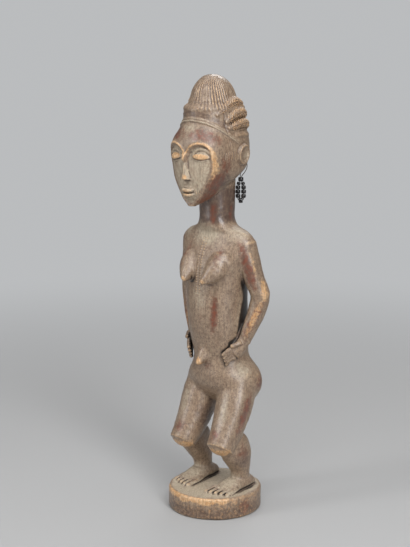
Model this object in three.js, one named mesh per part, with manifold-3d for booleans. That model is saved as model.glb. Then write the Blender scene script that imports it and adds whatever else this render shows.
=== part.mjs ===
// A standing wooden figure with bent knees on a round base, carved from one piece,
// and a small string of glass beads that hangs behind its left ear.
// Millimetres. +Z is up, the figure faces -Y and its left side is +X.
// The origin is the middle of the underside of the base.

import * as THREE from 'three';
import { LoftGeometry } from 'three/addons/geometries/LoftGeometry.js';
import { mergeVertices } from 'three/addons/utils/BufferGeometryUtils.js';
import Module from 'manifold-3d';

const wasm = await Module();
wasm.setup();

// Driving heights, from the ground up
const BASE_TOP = 22.5;
const KNEE_Z = 73;
const CROTCH_Z = 114;
const HIP_Z = 129;
const WAIST_Z = 158;
const NAVEL_Z = 156;
const BELLY_Z = 190;
const NIPPLE_Z = 241;
const CHEST_Z = 252;
const SHOULDER_Z = 273;
const NECK_Z = 290;
const CHIN_Z = 314;
const EYE_Z = 361;
const HAIRLINE_Z = 393;
const CREST_TOP_Z = 440;

// Driving widths
const BASE_RADIUS = 47.5;
const HIP_HALF = 37;
const WAIST_HALF = 28.4;
const SHOULDER_HALF = 43;
const NECK_RADIUS = 17.4;
const HEAD_HALF = 31.5;
const KNEE_X = 25.4;
const ELBOW_X = 45.5;

// Mesh density
const ROUND = 20;
const LIMB_ROUND = 10;
const FINE_ROUND = 5;

const SIDES = [
  { sign: 1, kneeDrop: -2, footOut: 2, armOut: 0 },
  { sign: -1, kneeDrop: 0, footOut: 3, armOut: 2.4 },
];

// A closed mesh as a solid that can be joined and cut
function solid(geometry) {
  const plain = new THREE.BufferGeometry().copy(geometry);
  plain.deleteAttribute('normal');
  plain.deleteAttribute('uv');
  const welded = mergeVertices(plain, 1e-4);
  return new wasm.Manifold(new wasm.Mesh({
    numProp: 3,
    vertProperties: new Float32Array(welded.attributes.position.array),
    triVerts: new Uint32Array(welded.index.array),
  }));
}

function unite(solids) {
  return solids.reduce((whole, next) => whole.add(next));
}

function toGeometry(body) {
  const mesh = body.getMesh();
  const geometry = new THREE.BufferGeometry();
  geometry.setAttribute('position', new THREE.BufferAttribute(mesh.vertProperties, 3));
  geometry.setIndex(new THREE.BufferAttribute(mesh.triVerts, 1));
  geometry.computeVertexNormals();
  return geometry;
}

// Smooth values between named stations; each station is an object with the same keys
function between(stations, by, keys) {
  const places = stations.map((station) => station[by]);
  const values = stations.flatMap((station) => keys.map((key) => station[key] ?? 0));
  const curve = new THREE.CubicInterpolant(places, values, keys.length);
  return (place) => {
    const found = curve.evaluate(place);
    return Object.fromEntries(keys.map((key, i) => [key, found[i]]));
  };
}

// One point of a rounded section; a higher squareness is nearer to a box
function sectionPoint(angle, halfWide, halfDeep, squareness) {
  const power = 2 / squareness;
  const c = Math.cos(angle);
  const s = Math.sin(angle);
  return [
    halfWide * Math.sign(c) * Math.abs(c) ** power,
    halfDeep * Math.sign(s) * Math.abs(s) ** power,
  ];
}

// A level section of the head or body, with its own squareness in front and behind
function levelRing(z, { x = 0, y, halfWide, halfDeep, front = 2, back = 2 }, count) {
  return Array.from({ length: count }, (_, i) => {
    const angle = (i / count) * Math.PI * 2;
    const squareness = Math.sin(angle) < 0 ? front : back;
    const [across, along] = sectionPoint(angle, halfWide, halfDeep, squareness);
    return new THREE.Vector3(x + across, y + along, z);
  });
}

// Level sections through named stations, rows apart in height
function column(stations, rows, count) {
  const keys = ['x', 'y', 'halfWide', 'halfDeep', 'front', 'back'];
  const at = between(stations, 'z', keys);
  const low = stations[0].z;
  const high = stations[stations.length - 1].z;
  const rings = [];
  for (let i = 0; i <= rows; i += 1) {
    const z = low + ((high - low) * i) / rows;
    rings.push(levelRing(z, at(z), count));
  }
  return solid(new LoftGeometry(rings, { capStart: true, capEnd: true }));
}

// A limb along a smooth path; each station is [x, y, z, halfWide, halfDeep].
// The wide way lies across the path and level. Each end bulges by its share of the radius.
function limb(stations, { rows = 8, count = LIMB_ROUND, bulge = [0.9, 0.9], squareness = 2 } = {}) {
  const path = new THREE.CatmullRomCurve3(stations.map(([x, y, z]) => new THREE.Vector3(x, y, z)));
  const sizes = between(
    stations.map(([, , , wide, deep], i) => ({ t: i / (stations.length - 1), wide, deep })),
    't', ['wide', 'deep'],
  );
  const across = new THREE.Vector3(0, 0, 1).cross(path.getTangent(0.5));
  if (across.length() < 0.05) across.set(1, 0, 0);
  across.normalize();
  const rings = [];
  const addRing = (t, shift, scale) => {
    const tangent = path.getTangent(t);
    const side = across.clone().addScaledVector(tangent, -across.dot(tangent)).normalize();
    const up = tangent.clone().cross(side);
    const centre = path.getPoint(t).addScaledVector(tangent, shift);
    const { wide, deep } = sizes(t);
    rings.push(Array.from({ length: count }, (_, i) => {
      const angle = (i / count) * Math.PI * 2;
      const [a, b] = sectionPoint(angle, wide * scale, deep * scale, squareness);
      return centre.clone().addScaledVector(side, a).addScaledVector(up, b);
    }));
  };
  const first = sizes(0);
  const final = sizes(1);
  const startReach = Math.min(first.wide, first.deep) * bulge[0];
  const endReach = Math.min(final.wide, final.deep) * bulge[1];
  if (startReach > 0) {
    addRing(0, -startReach, 0.3);
    addRing(0, -startReach * 0.7, 0.72);
  }
  for (let i = 0; i <= rows; i += 1) addRing(i / rows, 0, 1);
  if (endReach > 0) {
    addRing(1, endReach * 0.7, 0.72);
    addRing(1, endReach, 0.3);
  }
  return solid(new LoftGeometry(rings, { capStart: true, capEnd: true }));
}

function ball(x, y, z, radii, turn = [0, 0, 0], round = 10) {
  const geometry = new THREE.SphereGeometry(1, round, Math.round(round * 0.7));
  geometry.scale(...radii);
  geometry.applyMatrix4(new THREE.Matrix4().makeRotationFromEuler(new THREE.Euler(...turn)));
  geometry.translate(x, y, z);
  return solid(geometry);
}

function base() {
  const profile = [
    [0, 0], [BASE_RADIUS - 2.6, 0], [BASE_RADIUS - 0.6, 2.2], [BASE_RADIUS, 7],
    [BASE_RADIUS, BASE_TOP - 3], [BASE_RADIUS - 1.4, BASE_TOP - 0.6],
    [BASE_RADIUS - 3.4, BASE_TOP], [0, BASE_TOP],
  ].map(([r, z]) => new THREE.Vector2(r, z));
  const geometry = new THREE.LatheGeometry(profile, 34);
  geometry.rotateX(Math.PI / 2);
  return solid(geometry);
}

function foot({ sign, footOut }) {
  const x = (out) => sign * (out + footOut * 0.5);
  const parts = [limb([
    [x(23.5), 25, 25, 7.5, 6],
    [x(24), 14, 27.5, 10.2, 9],
    [x(23.8), 2, 26.5, 11.2, 8.5],
    [x(23.2), -8, 24.5, 12.8, 6],
    [x(22.8), -16, 23, 13.6, 3.6],
  ], { rows: 4, count: 8, bulge: [0.8, 0.3] })];
  const toeCount = 5;
  for (let toe = 0; toe < toeCount; toe += 1) {
    const share = toe / (toeCount - 1);
    const spread = 11.6 + 22.4 * share;
    const reach = -26.5 + 6 * share ** 1.6;
    const size = 3 - 0.7 * share;
    parts.push(limb([
      [x(spread * 0.97 + 0.5), -14, 24, size, size],
      [x(spread), reach, 23.4, size, size],
    ], { rows: 1, count: FINE_ROUND, bulge: [0, 0.8] }));
  }
  return unite(parts);
}

function lowerLeg({ sign, kneeDrop, footOut }) {
  const top = 83 - kneeDrop;
  const stations = [
    { z: 24, x: 23.5 + footOut * 0.5, y: 11, halfWide: 9.6, halfDeep: 11.5 },
    { z: 34, x: 24.3 + footOut * 0.5, y: 10.4, halfWide: 9.2, halfDeep: 10 },
    { z: 41, x: 25 + footOut * 0.4, y: 9.4, halfWide: 9.6, halfDeep: 10.8 },
    { z: 50, x: 26.4, y: 5.8, halfWide: 11.2, halfDeep: 14.8 },
    { z: 59, x: 27.2, y: 2.4, halfWide: 12, halfDeep: 18.6 },
    { z: 67, x: 27, y: -0.2, halfWide: 11.8, halfDeep: 19.6 },
    { z: top - 6, x: 26, y: -0.4, halfWide: 9.6, halfDeep: 13.4 },
    { z: top, x: 25.6, y: -1, halfWide: 5, halfDeep: 6 },
  ].map((station) => ({ front: 2, back: 2, ...station, x: sign * station.x }));
  return column(stations, 8, LIMB_ROUND);
}

function thigh({ sign, kneeDrop }) {
  const knee = KNEE_Z - kneeDrop;
  return limb([
    [sign * 20.5, 14, HIP_Z + 7, 17, 18],
    [sign * 22.8, 6.6, HIP_Z - 11, 18.4, 19],
    [sign * 24.2, -4.4, knee + 20, 16.6, 17.2],
    [sign * KNEE_X, -18.5, knee - 1, 13.6, 13.4],
    [sign * (KNEE_X + 0.2), -21, knee - 4.5, 13, 12.8],
  ], { rows: 4, count: 12, bulge: [0.6, 0.22], squareness: 2.15 });
}

function torso() {
  const stations = [
    { z: CROTCH_Z - 3, y: 14, halfWide: 20, halfDeep: 13 },
    { z: CROTCH_Z + 6, y: 13.5, halfWide: 31, halfDeep: 21 },
    { z: HIP_Z, y: 12.5, halfWide: HIP_HALF, halfDeep: 26 },
    { z: 140, y: 11.4, halfWide: HIP_HALF - 0.2, halfDeep: 27.6 },
    { z: 149, y: 10.8, halfWide: 31.6, halfDeep: 26.6 },
    { z: WAIST_Z, y: 10.2, halfWide: WAIST_HALF, halfDeep: 25.6 },
    { z: 172, y: 8, halfWide: WAIST_HALF + 0.2, halfDeep: 27.2 },
    { z: BELLY_Z, y: 5.6, halfWide: 29.8, halfDeep: 29 },
    { z: 212, y: 3.8, halfWide: 30.6, halfDeep: 28.8 },
    { z: 232, y: 3.4, halfWide: 32, halfDeep: 27.6 },
    { z: CHEST_Z, y: 3.4, halfWide: 36, halfDeep: 26 },
    { z: 264, y: 4, halfWide: 41, halfDeep: 23.6 },
    { z: SHOULDER_Z, y: 5, halfWide: SHOULDER_HALF, halfDeep: 20.6 },
    { z: 281, y: 6, halfWide: 42.5, halfDeep: 17.6 },
    { z: 287, y: 5.6, halfWide: 35, halfDeep: 16 },
    { z: NECK_Z + 1.5, y: 4, halfWide: 23, halfDeep: 16.8 },
    { z: 297, y: 3.2, halfWide: 18, halfDeep: NECK_RADIUS },
    { z: 310, y: 3, halfWide: NECK_RADIUS, halfDeep: NECK_RADIUS },
    { z: 338, y: 1.5, halfWide: NECK_RADIUS + 0.8, halfDeep: NECK_RADIUS + 2 },
  ].map((station) => ({ front: 2.2, back: 2.1, ...station }));
  const buttocks = SIDES.map(({ sign }) => ball(
    sign * 19, 20.5, HIP_Z + 1, [19.5, 20, 22], [0, 0, 0], 10,
  ));
  const navel = limb([
    [0, -12, NAVEL_Z + 4, 9, 9],
    [0, -18.6, NAVEL_Z + 1.5, 5, 4.6],
    [0, -23.4, NAVEL_Z, 1.8, 1.8],
  ], { rows: 2, count: 8, bulge: [0, 0.8] });
  return unite([column(stations, 17, ROUND), ...buttocks, navel]);
}

function breast({ sign }) {
  return limb([
    [sign * 18.4, -7, NIPPLE_Z + 23, 8.6, 9.6],
    [sign * 16.8, -15.6, NIPPLE_Z + 13.6, 9.6, 10.8],
    [sign * 14.2, -25.6, NIPPLE_Z + 4.4, 6.4, 6.8],
    [sign * 12.4, -32.4, NIPPLE_Z - 0.5, 2.8, 2.8],
  ], { rows: 3, count: 9, bulge: [0, 0.8] });
}

function arm({ sign, armOut }) {
  return limb([
    [sign * 33, 7, SHOULDER_Z + 1, 11.5, 12],
    [sign * 37.2, 8.4, 259, 10.6, 12],
    [sign * (41.2 + armOut * 0.6), 12.4, 240, 9.8, 10.6],
    [sign * (ELBOW_X + armOut), 16.4, 224, 9.4, 9.8],
    [sign * (43.2 + armOut), 14.6, 210, 9, 9.4],
    [sign * (38.4 + armOut * 0.6), 10.2, 193, 7.6, 8.2],
    [sign * 33.6, 6, 178, 6.2, 6.4],
  ], { rows: 9, bulge: [0.5, 0.3] });
}

function hand({ sign }) {
  const parts = [limb([
    [sign * 34, 6.4, 179, 6, 6.2],
    [sign * 31.6, 1.6, 171.5, 4.6, 7.6],
    [sign * 28.8, -4.6, 165, 4, 8.4],
  ], { rows: 2, count: 8, bulge: [0, 0.5] })];
  const fingerCount = 4;
  for (let finger = 0; finger < fingerCount; finger += 1) {
    const drop = 4.1 * finger;
    parts.push(limb([
      [sign * (29.6 - 0.4 * finger), -3.6, 170.6 - drop, 2.4, 2.3],
      [sign * (24.4 - 0.9 * finger), -13.4 + 1.2 * finger, 168.6 - drop, 2.1, 1.9],
    ], { rows: 1, count: FINE_ROUND, bulge: [0, 0.9] }));
  }
  return unite(parts);
}

// The head tapers to the chin; its underside rises to the back
function skull() {
  const stations = [
    { z: CHIN_Z, y: -32.8, halfWide: 3.4, halfDeep: 3.2, front: 2.2 },
    { z: 319.5, y: -25.2, halfWide: 10.8, halfDeep: 13, front: 2.6 },
    { z: 326, y: -20.2, halfWide: 16.2, halfDeep: 20.4, front: 2.8 },
    { z: 334, y: -13.2, halfWide: 22.2, halfDeep: 28.6, front: 3 },
    { z: 340, y: -10.8, halfWide: 25.4, halfDeep: 31.8, front: 3.1 },
    { z: 347, y: -7, halfWide: 28.2, halfDeep: 36.2, front: 3.2 },
    { z: 356, y: -5.4, halfWide: 30.2, halfDeep: 38.2, front: 3.3 },
    { z: 366, y: -4.8, halfWide: HEAD_HALF, halfDeep: 38.4, front: 3.3 },
    { z: 377, y: -4.6, halfWide: 30.8, halfDeep: 38.2, front: 3 },
    { z: 387, y: -3.8, halfWide: 28.2, halfDeep: 35.2, front: 2.5 },
    { z: HAIRLINE_Z + 3, y: -3, halfWide: 26, halfDeep: 32, front: 2.2 },
    { z: HAIRLINE_Z + 11, y: -3, halfWide: 26, halfDeep: 31.8, front: 2 },
    { z: HAIRLINE_Z + 17, y: -3, halfWide: 25, halfDeep: 31, front: 2 },
    { z: HAIRLINE_Z + 20, y: -3, halfWide: 20, halfDeep: 25, front: 2 },
  ].map((station) => ({ back: 2.4, ...station }));
  return column(stations, 14, ROUND);
}

// The raised edge of the heart-shaped face: over the brow and down the cheek to the chin
const EDGE_HALF = 1.6;

function faceEdge({ sign }) {
  const points = [
    [1.4, -42.6, EYE_Z + 2], [4.5, -43, EYE_Z + 9], [12, -42.4, EYE_Z + 13.4],
    [20, -39.6, EYE_Z + 11.5], [26, -34.4, EYE_Z + 3], [26, -32.4, EYE_Z - 8],
    [20.6, -34.4, EYE_Z - 23], [11.6, -37.6, EYE_Z - 38], [4, -37, EYE_Z - 44.5],
  ];
  return limb(points.map(([x, y, z]) => [sign * x, y + 0.6, z, EDGE_HALF, 2.2]), {
    rows: 12, count: 4, bulge: [0, 0],
  });
}

function eye({ sign }) {
  return ball(sign * 14, -40.6, EYE_Z, [7, 3, 3.2], [0, 0, sign * 0.3], 8);
}

function nose() {
  return limb([
    [0, -41, EYE_Z + 6, 2.6, 2],
    [0, -43.4, EYE_Z - 6, 2.4, 2.4],
    [0, -45.2, EYE_Z - 18.5, 4.4, 3],
  ], { rows: 3, count: 7, bulge: [0, 0.5] });
}

function mouth() {
  const lip = (z, out) => limb([
    [-6.4, -39.4, z, 1.6, 1.2], [0, -40.8 - out, z, 2.4, 1.7], [6.4, -39.4, z, 1.6, 1.2],
  ], { rows: 4, count: 4, bulge: [0, 0] });
  return unite([lip(EYE_Z - 31.5, 0.3), lip(EYE_Z - 35, 0)]);
}

function ear({ sign }) {
  const rim = limb([
    [sign * 28.7, 6.5, EYE_Z + 7.5, 2.2, 2.2], [sign * 29.9, 12, EYE_Z + 8, 2.2, 2.4],
    [sign * 28.9, 16.5, EYE_Z + 3, 2.2, 2.4], [sign * 28.3, 16, EYE_Z - 5, 2.2, 2.4],
    [sign * 28.3, 10.5, EYE_Z - 9, 2.2, 2.4], [sign * 27.9, 6.5, EYE_Z - 7, 2.2, 2.2],
  ], { rows: 6, count: 4, bulge: [0, 0] });
  return rim.add(ball(sign * 28.4, 11, EYE_Z, [2.8, 6, 8], [0, 0, 0], 6));
}

// The tall egg of hair, with upright grooves
function crest() {
  const grooves = 16;
  const count = grooves * 2;
  const rows = 6;
  const bottom = HAIRLINE_Z + 13;
  const height = CREST_TOP_Z - bottom;
  const rings = [];
  for (let row = 0; row < rows; row += 1) {
    const rise = row / (rows - 1);
    const taper = Math.sqrt(Math.max(0, 1 - (rise * 0.99) ** 1.9));
    const cut = 0.9 * Math.min(1, taper * 1.4);
    rings.push(Array.from({ length: count }, (_, i) => {
      const angle = (i / count) * Math.PI * 2;
      const ridge = i % 2 === 0 ? cut : 0;
      const [across, along] = sectionPoint(angle, 22.5 * taper - ridge, 25 * taper - ridge, 2);
      return new THREE.Vector3(across, -2.5 + along - 1.5 * rise, bottom + height * rise ** 0.85);
    }));
  }
  return solid(new LoftGeometry(rings, { capStart: true, capEnd: true }));
}

// The raised edge of the hair, over the forehead and down to each ear
function hairline() {
  const points = [];
  const steps = 10;
  for (let step = 0; step <= steps; step += 1) {
    const turn = Math.PI * (1.06 + (0.88 * step) / steps);
    const front = Math.max(0, -Math.sin(turn));
    const z = HAIRLINE_Z - 20 + 23 * front ** 0.7;
    const spread = 1 + 0.1 * (1 - front);
    points.push([26.9 * spread * Math.cos(turn), -4.4 + 31.9 * Math.sin(turn), z, 2, 2.4]);
  }
  return limb(points, { rows: 12, count: 4, bulge: [0, 0] });
}

// Three plaits a side, swept back and up from the temple
function plaits({ sign }) {
  const strands = [
    { start: [21, -18, 399], end: [8, 22, 412], size: 5.8 },
    { start: [24.5, -13, 391], end: [9.5, 25.5, 402], size: 6 },
    { start: [26.4, -8, 382], end: [10, 28, 391], size: 5.6 },
    { start: [27, -3, 373.5], end: [10, 29, 379.5], size: 4.6 },
  ];
  return unite(strands.map(({ start, end, size }) => {
    const middle = start.map((value, i) => (value + end[i]) / 2);
    const points = [
      [...start, size * 0.6, size * 0.55],
      [middle[0] + 5.4, middle[1] + 1, middle[2] + 1, size * 0.92, size],
      [...end, size * 0.75, size * 0.9],
    ].map(([x, ...rest]) => [sign * x, ...rest]);
    return limb(points, { rows: 3, count: 6, bulge: [0, 0.7] });
  }));
}

// The bead string hangs from a small hole through the rim of the head, behind the left
// ear. Its loop lies in an upright plane across the rim.
const HOLE_BELOW = new THREE.Vector3(16.75, 18.4, 342);
const HOLE_BEHIND = new THREE.Vector3(13.5, 29, 352);
const HOLE_RADIUS = 1.5;
const STRING_X = 17.2;
const STRING_Y = 18.6;
const STRING_ACROSS = new THREE.Vector3(0.743, 0.669, 0);
const THREAD_DIAMETER = 0.8;
const THREAD_SIDES = 8;
const THREAD_STEPS = 34;
const THREAD_END_GAP = 0.4;
const BEAD_SIDES = 6;

function threadHole() {
  const reach = HOLE_BEHIND.clone().sub(HOLE_BELOW).multiplyScalar(0.6);
  const way = new THREE.LineCurve3(
    HOLE_BELOW.clone().sub(reach), HOLE_BEHIND.clone().add(reach),
  );
  const round = new THREE.Shape().absarc(0, 0, HOLE_RADIUS, 0, Math.PI * 2);
  return solid(new THREE.ExtrudeGeometry(round, {
    extrudePath: way, steps: 1, curveSegments: 3, bevelEnabled: false,
  }));
}

// A place in the plane of the bead loop, across its middle and up from the ground
function onString(across, z) {
  return new THREE.Vector3(STRING_X, STRING_Y, z).addScaledVector(STRING_ACROSS, across);
}

// From the middle of the hole out behind, down through the beads, and up into the hole
function threadPath() {
  const middle = HOLE_BELOW.clone().lerp(HOLE_BEHIND, 0.5);
  const along = HOLE_BEHIND.clone().sub(HOLE_BELOW).normalize();
  return new THREE.CatmullRomCurve3([
    middle.clone().addScaledVector(along, THREAD_END_GAP / 2),
    HOLE_BEHIND,
    new THREE.Vector3(13, 31.4, 352.6),
    new THREE.Vector3(13.2, 32.6, 350.6),
    new THREE.Vector3(14.2, 31, 347),
    new THREE.Vector3(16, 25.6, 343.4),
    onString(0.75, 339.8), onString(0.6, 335.6),
    onString(2.2, 333), onString(2.7, 329), onString(2.8, 325), onString(2.75, 320.6),
    onString(2.85, 318.2), onString(2.2, 316.7), onString(0, 316.2),
    onString(-2.2, 316.7), onString(-2.85, 318.2), onString(-2.75, 320.6),
    onString(-2.8, 325), onString(-2.7, 329), onString(-2.2, 333),
    onString(-0.6, 335.6), onString(-0.62, 339.2),
    HOLE_BELOW,
    middle.clone().addScaledVector(along, -THREAD_END_GAP / 2),
  ]);
}

function thread() {
  const round = new THREE.Shape().absarc(0, 0, THREAD_DIAMETER / 2, 0, Math.PI * 2);
  return new THREE.ExtrudeGeometry(round, {
    extrudePath: threadPath(), steps: THREAD_STEPS,
    curveSegments: THREAD_SIDES / 2, bevelEnabled: false,
  });
}

// A round bead with a hole, on its own axis
function bead(across, z, radius, lean, hole = 1) {
  const half = radius * 0.76;
  const profile = [
    [hole, -half], [radius, -half * 0.42], [radius, half * 0.42], [hole, half], [hole, -half],
  ].map(([r, h]) => new THREE.Vector2(r, h));
  const geometry = new THREE.LatheGeometry(profile, BEAD_SIDES);
  geometry.rotateX(Math.PI / 2);
  const axis = STRING_ACROSS.clone().multiplyScalar(Math.sin(lean));
  axis.z = Math.cos(lean);
  const turn = new THREE.Quaternion().setFromUnitVectors(new THREE.Vector3(0, 0, 1), axis);
  geometry.applyQuaternion(turn);
  geometry.translate(...onString(across, z).toArray());
  return geometry;
}

const BEADS = [
  { across: 0, z: 337.3, radius: 2.6, lean: 0, hole: 1.85 },
  ...[1, -1].flatMap((side) => [
    { across: side * 2.15, z: 333, radius: 1.9, lean: -side * 0.3, hole: 1.15 },
    { across: side * 2.72, z: 329.2, radius: 2.35, lean: -side * 0.06 },
    { across: side * 2.8, z: 325, radius: 2.5, lean: 0 },
    { across: side * 2.72, z: 320.7, radius: 2.4, lean: side * 0.1 },
  ]),
  { across: 0, z: 316.3, radius: 2.7, lean: Math.PI / 2, hole: 1.9 },
];

function figure() {
  const body = unite([
    base(), torso(), skull(), crest(), hairline(), nose(), mouth(),
    ...SIDES.flatMap((side) => [
      foot(side), lowerLeg(side), thigh(side), breast(side), arm(side), hand(side),
      faceEdge(side), eye(side), ear(side), plaits(side),
    ]),
  ]);
  return body.subtract(threadHole());
}

function named(name, geometry, color, roughness, metalness = 0) {
  const material = new THREE.MeshStandardMaterial({ color, roughness, metalness });
  const mesh = new THREE.Mesh(geometry, material);
  mesh.name = name;
  return mesh;
}

const statue = new THREE.Group();
statue.add(named('figure', toGeometry(figure()), 0x5a4436, 0.6));
statue.add(named('bead_thread', thread(), 0x2a221c, 0.9));
BEADS.forEach(({ across, z, radius, lean, hole }, i) => {
  statue.add(named(`bead_${i + 1}`, bead(across, z, radius, lean, hole), 0x0c0b0d, 0.15));
});

export default statue;
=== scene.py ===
"""A carved wooden figure on a round base, with a string of glass beads behind its left ear."""

import math

import bpy
import numpy as np
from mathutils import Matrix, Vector


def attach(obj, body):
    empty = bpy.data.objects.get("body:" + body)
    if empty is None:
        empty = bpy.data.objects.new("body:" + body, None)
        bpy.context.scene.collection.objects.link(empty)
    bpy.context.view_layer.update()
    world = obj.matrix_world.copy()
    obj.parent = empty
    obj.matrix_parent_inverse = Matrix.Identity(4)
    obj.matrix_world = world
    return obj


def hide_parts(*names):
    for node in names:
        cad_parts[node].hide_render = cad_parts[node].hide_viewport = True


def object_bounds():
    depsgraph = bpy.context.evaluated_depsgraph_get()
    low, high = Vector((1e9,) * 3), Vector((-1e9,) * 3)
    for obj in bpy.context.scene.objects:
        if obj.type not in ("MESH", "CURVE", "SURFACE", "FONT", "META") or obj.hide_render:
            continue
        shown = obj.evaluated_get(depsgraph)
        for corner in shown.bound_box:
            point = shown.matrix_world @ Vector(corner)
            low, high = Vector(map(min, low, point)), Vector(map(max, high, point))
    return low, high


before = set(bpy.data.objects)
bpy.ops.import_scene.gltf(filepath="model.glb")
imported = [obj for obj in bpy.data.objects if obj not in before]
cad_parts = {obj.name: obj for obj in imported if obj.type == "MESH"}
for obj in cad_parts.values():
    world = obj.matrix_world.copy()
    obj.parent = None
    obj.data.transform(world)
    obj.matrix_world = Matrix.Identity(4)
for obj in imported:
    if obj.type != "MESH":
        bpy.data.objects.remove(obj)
CAD_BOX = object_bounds()

MM = 0.001

# Camera, in metres
VIEW_AZIMUTH = math.radians(42)
CAMERA_RADIUS = 1.2
CAMERA_HEIGHT = 0.46838
AIM_HEIGHT = 0.24272
AIM_LEFT = 0.01018
SENSOR = 36
LENS = 80.22

# Heights of the figure, in millimetres, as in the solids
BASE_TOP = 22.5
BASE_RADIUS = 47.5
KNEE_Z = 73
KNEE_X = 25.4
HIP_Z = 129
NAVEL_Z = 156
WAIST_Z = 158
BELLY_Z = 190
NIPPLE_Z = 241
CHEST_Z = 252
SHOULDER_Z = 273
NECK_Z = 290
CHIN_Z = 314
EYE_Z = 361
HAIRLINE_Z = 393
CREST_TOP_Z = 440
HIP_HALF = 37
WAIST_HALF = 28.4
SHOULDER_HALF = 43
NECK_RADIUS = 17.4
HEAD_HALF = 31.5
ELBOW_X = 45.5

SIDES = (
    dict(sign=1, knee_drop=-2, foot_out=2, arm_out=0),
    dict(sign=-1, knee_drop=0, foot_out=3, arm_out=2.4),
)

# Mesh of the figure
VOXEL = 0.62
REACH = 12
TRIANGLES = 190000


def look_at(thing, place, aim):
    thing.location = place
    thing.rotation_euler = (Vector(aim) - Vector(place)).to_track_quat("-Z", "Y").to_euler()


def around(azimuth, radius, height):
    """A place round the figure; azimuth 0 is in front of it, and its left side is at 90 degrees."""
    return (radius * math.sin(azimuth), -radius * math.cos(azimuth), height)


def make_camera():
    data = bpy.data.cameras.new("camera")
    data.sensor_fit = "VERTICAL"
    data.sensor_height = SENSOR
    data.lens = LENS
    camera = bpy.data.objects.new("camera", data)
    bpy.context.scene.collection.objects.link(camera)
    aim = (-AIM_LEFT * math.cos(VIEW_AZIMUTH), -AIM_LEFT * math.sin(VIEW_AZIMUTH), AIM_HEIGHT)
    look_at(camera, around(VIEW_AZIMUTH, CAMERA_RADIUS, CAMERA_HEIGHT), aim)
    bpy.context.scene.camera = camera


def link(name, data):
    piece = bpy.data.objects.new(name, data)
    bpy.context.scene.collection.objects.link(piece)
    return piece


# The string of beads

HOLE_BELOW = np.array((16.75, 18.4, 342))
HOLE_BEHIND = np.array((13.5, 29, 352))
HOLE_RADIUS = 1.5
STRING_X = 17.2
STRING_Y = 18.6
STRING_ACROSS = np.array((0.743, 0.669, 0))
THREAD_DIAMETER = 0.8
THREAD_END_GAP = 0.4
THREAD_POINTS = 8


def on_string(across, z):
    return np.array((STRING_X, STRING_Y, z)) + STRING_ACROSS * across


def thread_route():
    """From the middle of the hole out behind, down through the beads, and up into the hole."""
    middle = (HOLE_BELOW + HOLE_BEHIND) / 2
    along = (HOLE_BEHIND - HOLE_BELOW) / np.linalg.norm(HOLE_BEHIND - HOLE_BELOW)
    down = [(0.75, 339.8), (0.6, 335.6), (2.2, 333), (2.7, 329), (2.8, 325), (2.75, 320.6),
            (2.85, 318.2), (2.2, 316.7), (0, 316.2)]
    up = [(-2.2, 316.7), (-2.85, 318.2), (-2.75, 320.6), (-2.8, 325), (-2.7, 329), (-2.2, 333),
          (-0.6, 335.6), (-0.62, 339.2)]
    return [
        middle + along * THREAD_END_GAP / 2,
        HOLE_BEHIND,
        np.array((13, 31.4, 352.6)),
        np.array((13.2, 32.6, 350.6)),
        np.array((14.2, 31, 347)),
        np.array((16, 25.6, 343.4)),
        *[on_string(*place) for place in down + up],
        HOLE_BELOW,
        middle - along * THREAD_END_GAP / 2,
    ]


def smooth_route(points, per_span):
    """Centripetal Catmull-Rom curve through the points."""
    points = np.array(points, float)
    first = 2 * points[0] - points[1]
    last = 2 * points[-1] - points[-2]
    padded = np.vstack([first, points, last])
    route = []
    for i in range(1, len(padded) - 2):
        p0, p1, p2, p3 = padded[i - 1:i + 3]
        t0 = 0.0
        t1 = t0 + np.sqrt(np.linalg.norm(p1 - p0))
        t2 = t1 + np.sqrt(np.linalg.norm(p2 - p1))
        t3 = t2 + np.sqrt(np.linalg.norm(p3 - p2))
        for t in np.linspace(t1, t2, per_span, endpoint=False):
            a1 = (t1 - t) / (t1 - t0) * p0 + (t - t0) / (t1 - t0) * p1
            a2 = (t2 - t) / (t2 - t1) * p1 + (t - t1) / (t2 - t1) * p2
            a3 = (t3 - t) / (t3 - t2) * p2 + (t - t2) / (t3 - t2) * p3
            b1 = (t2 - t) / (t2 - t0) * a1 + (t - t0) / (t2 - t0) * a2
            b2 = (t3 - t) / (t3 - t1) * a2 + (t - t1) / (t3 - t1) * a3
            route.append((t2 - t) / (t2 - t1) * b1 + (t - t1) / (t2 - t1) * b2)
    route.append(points[-1])
    return np.array(route)


def make_thread(material):
    route = smooth_route(thread_route(), THREAD_POINTS)
    data = bpy.data.curves.new("thread", "CURVE")
    data.dimensions = "3D"
    data.bevel_depth = THREAD_DIAMETER / 2 * MM
    data.bevel_resolution = 3
    data.use_fill_caps = True
    spline = data.splines.new("POLY")
    spline.points.add(len(route) - 1)
    for point, place in zip(spline.points, route * MM):
        point.co = (*place, 1)
    thread = link("thread", data)
    data.materials.append(material)
    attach(thread, "root")
    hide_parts("bead_thread")
    return thread, route


def bead_places():
    """Across the loop, height, radius, lean, and hole radius of each bead."""
    places = [(0, 337.3, 2.6, 0, 1.85)]
    for side in (1, -1):
        places += [
            (side * 2.15, 333, 1.9, -side * 0.3, 1.15),
            (side * 2.72, 329.2, 2.35, -side * 0.06, 1),
            (side * 2.8, 325, 2.5, 0, 1),
            (side * 2.72, 320.7, 2.4, side * 0.1, 1),
        ]
    places.append((0, 316.3, 2.7, math.pi / 2, 1.9))
    return places


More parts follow.
